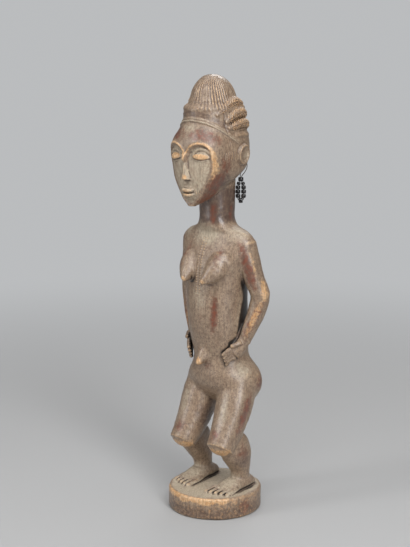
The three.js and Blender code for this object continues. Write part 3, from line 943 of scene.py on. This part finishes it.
def fine_carving(points):
    """All the shallow cuts together, in millimetres outwards."""
    x, y, z = points.T
    grooves, _ = crest_grooves(points)
    plaits, _ = plait_marks(points)
    ladder, _ = ladder_marks(points)
    outward = 0.4 * grooves + 0.55 * plaits + 0.5 * ladder
    outward += 0.42 * temple_marks(points) + 0.3 * mouth_marks(points)
    outward -= 0.5 * toe_grooves(points) + 1.0 * crack_marks(points)
    calm = 1 - smooth_step(z, EYE_Z - 50, EYE_Z - 40) * 0.6
    outward += calm * (0.22 * noise(points, 9, 1) + 0.12 * noise(points, 3.6, 2))
    rim = smooth_step(-np.abs(z - BASE_TOP), -5, 0) * smooth_step(np.hypot(x, y), BASE_RADIUS - 6, BASE_RADIUS)
    outward -= rim * 0.9 * np.clip(noise(points, 7, 3) + 0.2, 0, 1)
    spine = bump(x, 3.2) * smooth_step(y, 10, 20) * smooth_step(z, 150, 165) * smooth_step(-z, -280, -262)
    outward -= 1.3 * spine
    return outward


# Places on the skin that wear, polish and dust have coloured, and painted shade between the arms and chest

def spot(points, centre, radius, soft=0.9):
    """Full at the middle, fading to nothing at the radius."""
    share = np.linalg.norm((points - np.array(centre)) / np.array(radius), axis=1)
    return 1 - smooth_step(share, 1 - soft, 1)


def streak(points, start, end, radius, soft=0.9):
    start, end = np.array(start, float), np.array(end, float)
    way = end - start
    t = np.clip((points - start) @ way / way.dot(way), 0, 1)
    apart = np.linalg.norm(points - start - t[:, None] * way, axis=1)
    ends = 0.6 + 0.4 * np.sin(math.pi * t)
    return (1 - smooth_step(apart / radius, 1 - soft, 1)) * ends


def mirrored(points):
    return points * np.array((-1, 1, 1))


def strongest(*masks):
    return np.clip(np.max(np.array(masks), axis=0), 0, 1)


def both(points, paint):
    """The same mark on each side of the body."""
    return np.maximum(paint(points), paint(mirrored(points)))


def red_polish(points):
    x, y, z = points.T
    side, up = np.abs(x), z - EYE_Z
    beside_face = face_edge_distance(side, up)

    def paired(p):
        return strongest(
            streak(p, (8, -40, 384), (27, -27, 377), 13),
            spot(p, (31, -18, 352), (14, 16, 22)) * 0.75,
            streak(p, (37.6, -4.2, 276), (47, 5, 234), 9),
            streak(p, (52, 11, 218), (37.4, 1.3, 182), 9) * 0.75,
            streak(p, (22, -12.5, 272), (19.6, -24.7, 254), 8) * 0.75,
            streak(p, (42, 7, 122), (40, -10, 88), 10) * 0.9,
            spot(p, (37.2, 24, 132), 15) * 0.8,
            spot(p, (38, 0, 64), 15) * 0.7,
            spot(p, (24, -26, 84), 13) * 0.75,
            streak(p, (30, 20, 262), (26, 28, 205), 12) * 0.6,
            spot(p, (18, 36, 128), (16, 14, 18)) * 0.7,
        )

    return strongest(
        both(points, paired),
        (y < -16) * (up > -44) * (up < -14) * bump(beside_face - 1.4, 2.2) * 0.9,
        streak(points, (18, -20.3, 224), (15.3, -20.1, 188), 7),
        streak(points, (9.3, -12.2, 314), (9, -14, 296), 6.5),
        streak(points, (17, 4.3, 312), (17, 4.3, 298), 6.5) * 0.8,
        streak(points, (-14, -8, 314), (-14, -10, 296), 6.5) * 0.8,
        spot(points, (47, -6.4, 12), (12, 14, 14)) * 0.8,
        spot(points, (-44, 14, 12), (12, 14, 14)) * 0.7,
        spot(points, (4.5, -17, 152), 9) * 0.7,
    )


def tan_rub(points):
    x, y, z = points.T
    up = z - EYE_Z
    face = (y < -24) * (z > CHIN_Z) * (z < HAIRLINE_Z)
    edge = face_edge_distance(np.abs(x), up)
    fading = smooth_step(up, -30, -8)
    brow = face * bump(edge - 0.3, 1.5) * (0.25 + 0.75 * fading)

    def paired(p):
        px, py, pz = p.T
        lid = ((px - EYE_X) / EYE_HALF) ** 2 + ((pz - EYE_Z - EYE_UP - 0.6) / 3.4) ** 2
        return strongest(
            (py < -34) * (1 - smooth_step(lid, 0.55, 1.1)) * 0.9,
            streak(p, (26.6, -32, 370), (27, -32, 348), 4) * 0.8,
            spot(p, (12.6, -33.4, 240.6), 5.5),
            streak(p, (53, 12.4, 240), (54, 13, 220), 7),
            streak(p, (53, 11.5, 222), (38.5, 3, 184), 6.5) * 0.85,
            streak(p, (42, 1, 274), (51, 6, 240), 4) * 0.7,
            spot(p, (35, -3, 170), (8, 7, 8)) * 0.5,
        )

    knees = strongest(*[
        smooth_step(-z, -(KNEE_Z - side["knee_drop"]) - 1.5, -(KNEE_Z - side["knee_drop"]) + 6)
        * smooth_step(-y, 16, 22) * (z > 45) * (x * side["sign"] > 0)
        for side in SIDES
    ])
    angle = np.degrees(np.arctan2(y, x))
    front = smooth_step(angle, -160, -110) * smooth_step(-angle, 14, 40)
    on_side = smooth_step(np.hypot(x, y), BASE_RADIUS - 3.4, BASE_RADIUS - 1)
    ragged = 2.2 * noise(points, 8, 31)
    upper_rim = on_side * smooth_step(z + ragged, BASE_TOP - 8, BASE_TOP - 5) * smooth_step(
        -z, -BASE_TOP - 1, -BASE_TOP + 0.6)
    on_base = on_side * (z < BASE_TOP)
    return strongest(
        brow, both(points, paired), knees,
        spot(points, (0, -46, EYE_Z - 18), (7.5, 7, 5.5)) * face,
        spot(points, (0, -44, EYE_Z + LIP_LINE), (10, 7, 7)) * face * 0.85,
        spot(points, (-1, -24, 156), (8, 9, 9)),
        upper_rim * (0.3 + 0.7 * front), on_base * 0.42,
        plait_marks(points)[1] * 0.55,
        smooth_step(ladder_marks(points)[0], 0.3, 0.8) * 0.6,
    )


def pale_dust(points):
    x, y, z = points.T
    edge = face_edge_distance(np.abs(x), z - EYE_Z)
    cheeks = (y < -28) * smooth_step(-edge, 0.8, 4) * (z > CHIN_Z) * (z < EYE_Z + 14)
    base_top = smooth_step(z, BASE_TOP - 0.7, BASE_TOP) * smooth_step(-z, -BASE_TOP - 7, -BASE_TOP - 1)
    base_top = base_top * smooth_step(-np.hypot(x, y), -BASE_RADIUS + 0.6, -BASE_RADIUS + 3.6)
    hairline = smooth_step(hairline_relief(x, y, z), 0.3, 0.9) * (z > EYE_Z + 8)

    def paired(p):
        return strongest(
            spot(p, (30, 0, 288), (22, 24, 20)) * 0.75,
            spot(p, (32, 6, 146), (20, 22, 20)) * 0.7,
            spot(p, (24, -6, 30), (22, 32, 20)) * 0.9,
            streak(p, (26, -10, 124), (28, -24, 92), 10) * 0.65,
            streak(p, (30, 4, 228), (30, 2, 176), 13) * 0.5,
            streak(p, (44, 12, 212), (36, 6, 180), 7) * 0.5,
            spot(p, (26, -6, 340), (14, 24, 14)) * 0.4,
            spot(p, (30, 11, 361), (8, 14, 14)) * 0.6,
            streak(p, (27, -9, 383), (24, 16, 383), 7) * 0.6,
        )

    return strongest(
        cheeks * 0.75, base_top * 0.95, both(points, paired), hairline * 0.8,
        spot(points, (0, -14, 284), (34, 24, 20)) * 0.9,
        spot(points, (0, -25, 222), (20, 14, 30)) * 0.6,
        spot(points, (0, -38, 390), (18, 12, 9)) * 0.7,
        spot(points, (0, 20, 285), (34, 18, 20)) * 0.7,
        spot(points, (0, 24, 160), (24, 16, 20)) * 0.6,
    )


def dark_zones_and_arm_shade(points):
    x, y, z = points.T

    def paired(p):
        return strongest(
            spot(p, (24, -15, 338), (16, 22, 20)) * 0.8,
            # painted shade on the flank of the chest and the inner side of the arm, where they face each other
            spot(p, (30, -2, 225), (12, 36, 40)) * smooth_step(np.abs(p[:, 0]), 24, 28) * 0.4,
            spot(p, (34, 2, 56), (18, 24, 22)) * 0.7,
            spot(p, (10, -2, 95), (14, 28, 28)) * 0.75,
            spot(p, (12, -35, 388), (18, 12, 9)) * 0.6,
        )

    on_side = smooth_step(np.hypot(x, y), BASE_RADIUS - 2, BASE_RADIUS - 0.6)
    base_side = on_side * (0.35 + 0.35 * smooth_step(-z, -17, -8))
    neck = smooth_step(-np.hypot(x, y - 3), -23, -19) * smooth_step(z, 291, 299) * smooth_step(-z, -338, -326)
    above = z - hairline_height(x, y)
    band = smooth_step(above, 2.5, 4.5) * smooth_step(-above, -11, -8) * (z > 380) * smooth_step(-y, 0, 12)
    return strongest(both(points, paired), base_side, neck * 0.8, band * 0.6, crack_marks(points))


def polished(points):
    def paired(p):
        return strongest(
            streak(p, (41.4, 3.3, 278), (53, 12.8, 231), 9),
            streak(p, (23.3, -20.3, 260), (15, -33, 243), 8),
            streak(p, (37.5, 4.8, 133), (39.5, -6.6, 95), 11),
            streak(p, (26, -14, 118), (28, -25, 88), 10),
            spot(p, (6, -42, 380), (18, 12, 12)),
            streak(p, (34, 14, 250), (30, 20, 200), 14) * 0.7,
        )

    return strongest(
        both(points, paired),
        streak(points, (26, -13, 240), (27, -12, 180), 14) * 0.8,
        smooth_step(-np.hypot(points[:, 0], points[:, 1] - 3), -22, -19) * (points[:, 2] > 295) * 0.9,
    )


def spread_along(edges, values, rounds, vertex_count):
    """Average of each vertex with its neighbours, over and over."""
    first, last = edges.T
    degree = np.bincount(first, minlength=vertex_count) + np.bincount(last, minlength=vertex_count)
    for _ in range(rounds):
        total = np.zeros_like(values)
        for axis in range(values.shape[1]):
            total[:, axis] = (np.bincount(first, values[last, axis], vertex_count)
                              + np.bincount(last, values[first, axis], vertex_count))
        values = 0.5 * values + 0.5 * total / np.maximum(degree, 1)[:, None]
    return values


def mesh_arrays(data):
    points = np.zeros(len(data.vertices) * 3)
    data.vertices.foreach_get("co", points)
    normals = np.zeros(len(data.vertices) * 3)
    data.vertices.foreach_get("normal", normals)
    edges = np.zeros(len(data.edges) * 2, np.int32)
    data.edges.foreach_get("vertices", edges)
    return points.reshape(-1, 3), normals.reshape(-1, 3), edges.reshape(-1, 2)


def paint(data, name, values):
    attribute = data.attributes.new(name, "FLOAT", "POINT")
    attribute.data.foreach_set("value", np.clip(values, 0, 1).astype(np.float32))


def paint_skin(data, wood):
    points, normals, edges = mesh_arrays(data)
    points = points / MM
    count = len(points)
    near = spread_along(edges, points, 6, count)
    wide = spread_along(edges, near, 20, count)
    bulge_near = ((points - near) * normals).sum(axis=1)
    bulge_wide = ((near - wide) * normals).sum(axis=1)
    open_air = np.zeros(count)
    reaches = (4, 7, 11)
    for reach in reaches:
        open_air += np.clip(wood.sample(points + normals * reach) / reach, -0.2, 1) / len(reaches)
    closed_in = np.clip(1 - open_air, 0, 1)
    # deep: how closed in the surface is by nearby wood, used as near-black painted shade
    paint(data, "deep", smooth_step(closed_in, 0.4, 0.95))
    # hollow: darker in recesses, partly grime in the carving and partly painted shade where the surface is
    # closed in
    paint(data, "hollow", 0.5 * smooth_step(closed_in, 0.15, 0.6) + 0.8 * smooth_step(-bulge_near, 0.04, 0.3))
    paint(data, "edge", smooth_step(bulge_near, 0.05, 0.3) * 0.6 + smooth_step(bulge_wide, 0.1, 0.7) * 0.6)
    paint(data, "red", red_polish(points))
    paint(data, "rub", tan_rub(points))
    paint(data, "dust", pale_dust(points))
    paint(data, "dark", dark_zones_and_arm_shade(points))
    paint(data, "shine", polished(points))
    grooves, on_crest = crest_grooves(points)
    cut, on_plait = plait_marks(points)
    ladder, around_ladder = ladder_marks(points)
    temple = temple_marks(points)
    mouth = mouth_marks(points)
    # The low parts of the cuts darken; face_crease_shade adds painted shade along the face's creases
    low = strongest(
        smooth_step(-grooves, -0.1, 0.8) * on_crest, smooth_step(-cut, -0.1, 0.5) * on_plait,
        (around_ladder > 0.2) * (1 - ladder) * 0.3,
        face_crease_shade(*points.T), smooth_step(-temple, 0, 0.7) * 0.7, smooth_step(-mouth, 0, 0.7) * 0.7,
    )
    high = strongest(
        smooth_step(grooves, 0.1, 0.8) * on_crest, smooth_step(cut, 0, 0.4) * on_plait, ladder,
        smooth_step(temple, 0, 0.7) * 0.8, smooth_step(mouth, 0, 0.7) * 0.8,
    )
    paint(data, "cut_low", low)
    paint(data, "cut_high", high)


def thinned(data, triangles):
    """The same mesh with fewer triangles, kept where the form needs them."""
    trial = link("thinning", data)
    modifier = trial.modifiers.new("thin", "DECIMATE")
    modifier.ratio = min(1, triangles / (2 * len(data.polygons)))
    bpy.context.view_layer.update()
    result = bpy.data.meshes.new_from_object(trial.evaluated_get(bpy.context.evaluated_depsgraph_get()))
    bpy.data.objects.remove(trial)
    return result


def make_figure(material):
    wood = carve_wood()
    points, quads = surface(wood)
    data = bpy.data.meshes.new("skin")
    data.from_pydata((points * MM).tolist(), [], quads.tolist())
    data.update()
    places, normals, _ = mesh_arrays(data)
    moved = places / MM + normals * fine_carving(places / MM)[:, None]
    low, high = (np.array(corner) / MM for corner in CAD_BOX)
    moved = np.clip(moved, low, high)
    data.vertices.foreach_set("co", (moved * MM).ravel())
    data.update()
    data = thinned(data, TRIANGLES)
    data.shade_smooth()
    paint_skin(data, wood)
    data.materials.clear()
    data.materials.append(material)
    figure = link("carved_figure", data)
    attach(figure, "root")
    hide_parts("figure")
    return figure


# Materials

def add_node(tree, kind, inputs=None, **settings):
    node = tree.nodes.new(kind)
    for name, value in settings.items():
        setattr(node, name, value)
    for name, value in (inputs or {}).items():
        socket = node.inputs[name]
        if isinstance(value, bpy.types.NodeSocket):
            tree.links.new(value, socket)
        else:
            socket.default_value = value
    return node


def math_node(tree, operation, a, b=0.0):
    node = add_node(tree, "ShaderNodeMath", {0: a, 1: b}, operation=operation)
    return node.outputs[0]


def mix_colour(tree, amount, a, b, blend="MIX"):
    node = add_node(tree, "ShaderNodeMix", {0: amount, 6: a, 7: b}, data_type="RGBA", blend_type=blend)
    return node.outputs[2]


def ranged(tree, value, low, high, to_low=0.0, to_high=1.0):
    node = add_node(tree, "ShaderNodeMapRange", {
        "Value": value, "From Min": low, "From Max": high, "To Min": to_low, "To Max": to_high,
    }, interpolation_type="SMOOTHSTEP")
    return node.outputs["Result"]


def painted(tree, name):
    return add_node(tree, "ShaderNodeAttribute", attribute_type="GEOMETRY", attribute_name=name).outputs["Fac"]


def colour(red, green, blue):
    return (red, green, blue, 1.0)


def new_group(name, inputs, outputs):
    """A node group with named number, vector or colour sockets; inputs are (kind, start value)."""
    group = bpy.data.node_groups.new(name, "ShaderNodeTree")
    for key, (kind, value) in inputs.items():
        socket = group.interface.new_socket(key, in_out="INPUT", socket_type=kind)
        if value is not None:
            socket.default_value = value
    for key, kind in outputs.items():
        group.interface.new_socket(key, in_out="OUTPUT", socket_type=kind)
    return group, group.nodes.new("NodeGroupInput").outputs, group.nodes.new("NodeGroupOutput").inputs


def mottle_group():
    """Patches: a painted mask broken up by noise."""
    group, given, out = new_group("patches", {
        "Position": ("NodeSocketVector", None), "Scale": ("NodeSocketFloat", 200.0),
        "Mask": ("NodeSocketFloat", 0.5), "Break Up": ("NodeSocketFloat", 0.8),
        "Low": ("NodeSocketFloat", 0.35), "High": ("NodeSocketFloat", 0.65),
    }, {"Amount": "NodeSocketFloat"})
    cloud = add_node(group, "ShaderNodeTexNoise", {
        "Vector": given["Position"], "Scale": given["Scale"], "Detail": 5.0, "Roughness": 0.62,
    })
    centred = math_node(group, "SUBTRACT", cloud.outputs["Fac"], 0.5)
    shift = math_node(group, "MULTIPLY", centred, given["Break Up"])
    level = math_node(group, "ADD", given["Mask"], shift)
    result = ranged(group, level, given["Low"], given["High"])
    group.links.new(result, out["Amount"])
    return group


def grain_group():
    """Fine upright streaks of the wood, and short pores."""
    group, given, out = new_group("grain", {
        "Position": ("NodeSocketVector", None), "Scale": ("NodeSocketFloat", 700.0),
    }, {"Streaks": "NodeSocketFloat", "Pores": "NodeSocketFloat"})
    stretched = add_node(group, "ShaderNodeVectorMath", {0: given["Position"], 1: (1, 1, 0.09)},
                         operation="MULTIPLY").outputs["Vector"]
    streaks = add_node(group, "ShaderNodeTexNoise", {
        "Vector": stretched, "Scale": given["Scale"], "Detail": 4.0, "Roughness": 0.6, "Distortion": 0.3,
    })
    finer = math_node(group, "MULTIPLY", given["Scale"], 2.2)
    pores = add_node(group, "ShaderNodeTexNoise", {"Vector": stretched, "Scale": finer, "Detail": 2.0})
    group.links.new(streaks.outputs["Fac"], out["Streaks"])
    group.links.new(ranged(group, pores.outputs["Fac"], 0.56, 0.7), out["Pores"])
    return group


def use_group(tree, group, inputs):
    node = tree.nodes.new("ShaderNodeGroup")
    node.node_tree = group
    for name, value in inputs.items():
        if isinstance(value, bpy.types.NodeSocket):
            tree.links.new(value, node.inputs[name])
        else:
            node.inputs[name].default_value = value
    return node.outputs


def new_material(name):
    material = bpy.data.materials.new(name)
    material.use_nodes = True
    tree = material.node_tree
    shader = next(node for node in tree.nodes if node.type == "BSDF_PRINCIPLED")
    return material, tree, shader


TAUPE = colour(0.36, 0.265, 0.18)
TAUPE_DEEP = colour(0.20, 0.125, 0.078)
FLECK = colour(0.10, 0.055, 0.033)
BROWN = colour(0.075, 0.038, 0.025)
RED = colour(0.17, 0.042, 0.016)
RED_BROWN = colour(0.12, 0.055, 0.032)
TAN = colour(0.52, 0.28, 0.115)
TAN_PALE = colour(0.64, 0.42, 0.23)
DUST = colour(0.45, 0.375, 0.275)
OCCLUSION_SHADE = colour(0.018, 0.012, 0.008)


def wood_material():
    """Old waxed wood, rubbed through to tan, with dust; its hollows darkened partly as grime and partly as
    painted shade, and near-black painted shade where parts close in on each other.
    """
    material, tree, shader = new_material("worn_wood")
    place = add_node(tree, "ShaderNodeTexCoord").outputs["Object"]
    patches = mottle_group()
    grain = use_group(tree, grain_group(), {"Position": place, "Scale": 620.0})

    def patch(mask, scale, break_up, low, high):
        return use_group(tree, patches, {
            "Position": place, "Scale": scale, "Mask": mask, "Break Up": break_up, "Low": low, "High": high,
        })["Amount"]

    def part_of(amount, share):
        return math_node(tree, "MULTIPLY", amount, share)

    skin = mix_colour(tree, patch(0.5, 340.0, 1.6, 0.1, 0.9), TAUPE_DEEP, TAUPE)
    skin = mix_colour(tree, part_of(patch(0.5, 90.0, 1.6, 0.4, 0.9), 0.35), skin, TAUPE_DEEP)
    skin = mix_colour(tree, part_of(patch(0.5, 640.0, 2.0, 0.5, 0.9), 0.8), skin, FLECK)
    skin = mix_colour(tree, patch(painted(tree, "dark"), 300.0, 1.2, 0.25, 1.0), skin, BROWN)
    red = mix_colour(tree, patch(0.5, 260.0, 2.0, 0.3, 0.7), RED, RED_BROWN)
    skin = mix_colour(tree, patch(painted(tree, "red"), 280.0, 1.5, 0.25, 0.95), skin, red)
    dust_here = patch(painted(tree, "dust"), 330.0, 1.5, 0.25, 1.05)
    skin = mix_colour(tree, dust_here, skin, DUST)
    # Darker brown in hollows: partly grime, partly painted shade
    skin = mix_colour(tree, part_of(patch(painted(tree, "hollow"), 300.0, 1.0, 0.3, 0.95), 0.8), skin, BROWN)
    # Painted shade: near black where other parts close in, as between arm and chest
    skin = mix_colour(tree, patch(painted(tree, "deep"), 160.0, 0.6, 0.2, 0.8), skin, OCCLUSION_SHADE)
    rub_here = patch(painted(tree, "rub"), 380.0, 1.6, 0.35, 0.95)
    tan = mix_colour(tree, patch(0.5, 420.0, 2.0, 0.3, 0.75), TAN, TAN_PALE)
    skin = mix_colour(tree, rub_here, skin, tan)
    worn_edge = patch(painted(tree, "edge"), 520.0, 1.2, 0.5, 1.2)
    skin = mix_colour(tree, part_of(worn_edge, 0.5), skin, TAN_PALE)
    skin = mix_colour(tree, part_of(patch(painted(tree, "cut_high"), 150.0, 1.4, 0.4, 1.1), 0.7), skin, TAN_PALE)
    # Darker in the groove bottoms, with painted shade along the face's creases
    skin = mix_colour(tree, part_of(patch(painted(tree, "cut_low"), 150.0, 1.0, 0.2, 1.1), 0.85), skin, BROWN)
    streak_shade = ranged(tree, grain["Streaks"], 0.3, 0.7, 0.80, 1.16)
    shade = add_node(tree, "ShaderNodeCombineColor", {0: streak_shade, 1: streak_shade, 2: streak_shade})
    skin = mix_colour(tree, 1.0, skin, shade.outputs[0], "MULTIPLY")
    skin = mix_colour(tree, part_of(grain["Pores"], 0.45), skin, FLECK)
    tree.links.new(skin, shader.inputs["Base Color"])
    shine = painted(tree, "shine")
    rough = ranged(tree, shine, 0.0, 1.0, 0.42, 0.3)
    rough = math_node(tree, "ADD", rough, part_of(dust_here, 0.22))
    rough = math_node(tree, "ADD", rough, part_of(grain["Streaks"], 0.1))
    tree.links.new(rough, shader.inputs["Roughness"])
    waxed = math_node(tree, "SUBTRACT", ranged(tree, shine, 0.0, 1.0, 0.35, 0.9), part_of(dust_here, 0.3))
    tree.links.new(waxed, shader.inputs["Coat Weight"])
    shader.inputs["Coat Roughness"].default_value = 0.32
    shader.inputs["Specular IOR Level"].default_value = 0.7
    speck = add_node(tree, "ShaderNodeTexNoise", {"Vector": place, "Scale": 1400.0, "Detail": 3.0})
    relief = math_node(tree, "ADD", part_of(grain["Streaks"], 0.7), part_of(speck.outputs["Fac"], 0.5))
    relief = math_node(tree, "SUBTRACT", relief, part_of(grain["Pores"], 0.5))
    bumps = add_node(tree, "ShaderNodeBump", {"Strength": 0.35, "Distance": 0.0004, "Height": relief})
    tree.links.new(bumps.outputs["Normal"], shader.inputs["Normal"])
    return material


def glass_material():
    """Black wound glass, glossy, a little scratched and dusty."""
    material, tree, shader = new_material("black_glass")
    place = add_node(tree, "ShaderNodeTexCoord").outputs["Object"]
    film = add_node(tree, "ShaderNodeTexNoise", {"Vector": place, "Scale": 900.0, "Detail": 4.0})
    amount = ranged(tree, film.outputs["Fac"], 0.45, 0.75)
    skin = mix_colour(tree, amount, colour(0.006, 0.006, 0.008), colour(0.06, 0.05, 0.042))
    tree.links.new(skin, shader.inputs["Base Color"])
    tree.links.new(ranged(tree, film.outputs["Fac"], 0.35, 0.75, 0.08, 0.34), shader.inputs["Roughness"])
    shader.inputs["IOR"].default_value = 1.52
    bumps = add_node(tree, "ShaderNodeBump", {"Strength": 0.15, "Distance": 0.0002,
                                               "Height": film.outputs["Fac"]})
    tree.links.new(bumps.outputs["Normal"], shader.inputs["Normal"])
    return material


def thread_material():
    """Dull brown twisted thread."""
    material, tree, shader = new_material("thread")
    place = add_node(tree, "ShaderNodeTexCoord").outputs["Object"]
    twist = add_node(tree, "ShaderNodeTexWave", {"Vector": place, "Scale": 420.0, "Distortion": 1.5},
                     bands_direction="DIAGONAL")
    skin = mix_colour(tree, twist.outputs["Fac"], colour(0.02, 0.015, 0.012), colour(0.10, 0.075, 0.055))
    tree.links.new(skin, shader.inputs["Base Color"])
    shader.inputs["Roughness"].default_value = 0.9
    bumps = add_node(tree, "ShaderNodeBump", {"Strength": 0.6, "Distance": 0.0003,
                                               "Height": twist.outputs["Fac"]})
    tree.links.new(bumps.outputs["Normal"], shader.inputs["Normal"])
    return material


# Studio

FLOOR_COLOUR = colour(0.42, 0.42, 0.42)
TENT_GLOW = colour(0.495, 0.505, 0.515)
GLOW_AS_LIGHT = 0.35
GLOW_STARTS = 0.3
GLOW_FULL = 1.3
FLOOR_RADIUS = 1.9
WALL_BEND = 1.1
WALL_TOP = 3.2


def make_floor():
    """A round floor that curves up into a wall on all sides, lit from behind away from the figure."""
    profile = [(0.0, 0.0), (FLOOR_RADIUS * 0.5, 0.0), (FLOOR_RADIUS, 0.0)]
    bend_steps = 12
    for step in range(1, bend_steps + 1):
        turn = math.pi / 2 * step / bend_steps
        profile.append((FLOOR_RADIUS + WALL_BEND * math.sin(turn), WALL_BEND * (1 - math.cos(turn))))
    profile.append((FLOOR_RADIUS + WALL_BEND, WALL_TOP))
    around_count = 64
    places = [(0.0, 0.0, 0.0)]
    for i in range(around_count):
        turn = 2 * math.pi * i / around_count
        places += [(r * math.cos(turn), r * math.sin(turn), z) for r, z in profile[1:]]
    rings = len(profile) - 1
    faces = []
    for i in range(around_count):
        k = (i + 1) % around_count
        faces.append((0, 1 + i * rings, 1 + k * rings))
        for j in range(rings - 1):
            faces.append((1 + i * rings + j, 1 + i * rings + j + 1,
                          1 + k * rings + j + 1, 1 + k * rings + j))
    data = bpy.data.meshes.new("floor")
    data.from_pydata(places, [], faces)
    data.shade_smooth()
    material, tree, shader = new_material("floor")
    place = add_node(tree, "ShaderNodeTexCoord").outputs["Object"]
    away = add_node(tree, "ShaderNodeVectorMath", {0: place}, operation="LENGTH").outputs["Value"]
    share = ranged(tree, away, GLOW_STARTS, GLOW_FULL)
    black = colour(0, 0, 0)
    tree.links.new(mix_colour(tree, share, FLOOR_COLOUR, black), shader.inputs["Base Color"])
    tree.links.new(mix_colour(tree, share, black, TENT_GLOW), shader.inputs["Emission Color"])
    seen = add_node(tree, "ShaderNodeLightPath").outputs["Is Camera Ray"]
    tree.links.new(ranged(tree, seen, 0.0, 1.0, GLOW_AS_LIGHT, 1.0), shader.inputs["Emission Strength"])
    shader.inputs["Specular IOR Level"].default_value = 0.0
    shader.inputs["Roughness"].default_value = 0.9
    data.materials.append(material)
    link("floor", data)


# Soft boxes: azimuth from the camera's, height angle, distance, width, height, watts
SOFT_BOXES = [
    (26, 24, 1.35, 0.36, 1.3, 13),
    (-68, 22, 1.35, 0.3, 1.3, 7),
    (0, 55, 1.5, 1.0, 0.8, 9),
    (165, 45, 1.6, 0.8, 0.6, 5),
]
TOP_LIGHT = dict(height=1.9, size=1.2, watts=6)
SKY = colour(0.82, 0.83, 0.85)
SKY_STRENGTH = 0.45
LIGHT_AIM = (0, 0, 0.22)


def soft_box(name, place, width, height, watts):
    data = bpy.data.lights.new(name, "AREA")
    data.shape = "RECTANGLE"
    data.size = width
    data.size_y = height
    data.energy = watts
    light = link(name, data)
    look_at(light, place, LIGHT_AIM)
    light.visible_camera = False


def make_lights():
    for number, (azimuth, lift, distance, width, height, watts) in enumerate(SOFT_BOXES):
        lift = math.radians(lift)
        turn = VIEW_AZIMUTH + math.radians(azimuth)
        place = around(turn, distance * math.cos(lift), LIGHT_AIM[2] + distance * math.sin(lift))
        soft_box(f"soft_box_{number + 1}", place, width, height, watts)
    soft_box("top_light", (0, 0.01, TOP_LIGHT["height"]), TOP_LIGHT["size"], TOP_LIGHT["size"],
             TOP_LIGHT["watts"])
    world = bpy.data.worlds.new("studio")
    world.use_nodes = True
    background = world.node_tree.nodes["Background"]
    background.inputs["Color"].default_value = SKY
    background.inputs["Strength"].default_value = SKY_STRENGTH
    bpy.context.scene.world = world
    bpy.context.scene.view_settings.view_transform = "Standard"


make_camera()
make_bead_string(thread_material(), glass_material())
make_figure(wood_material())
make_floor()
make_lights()
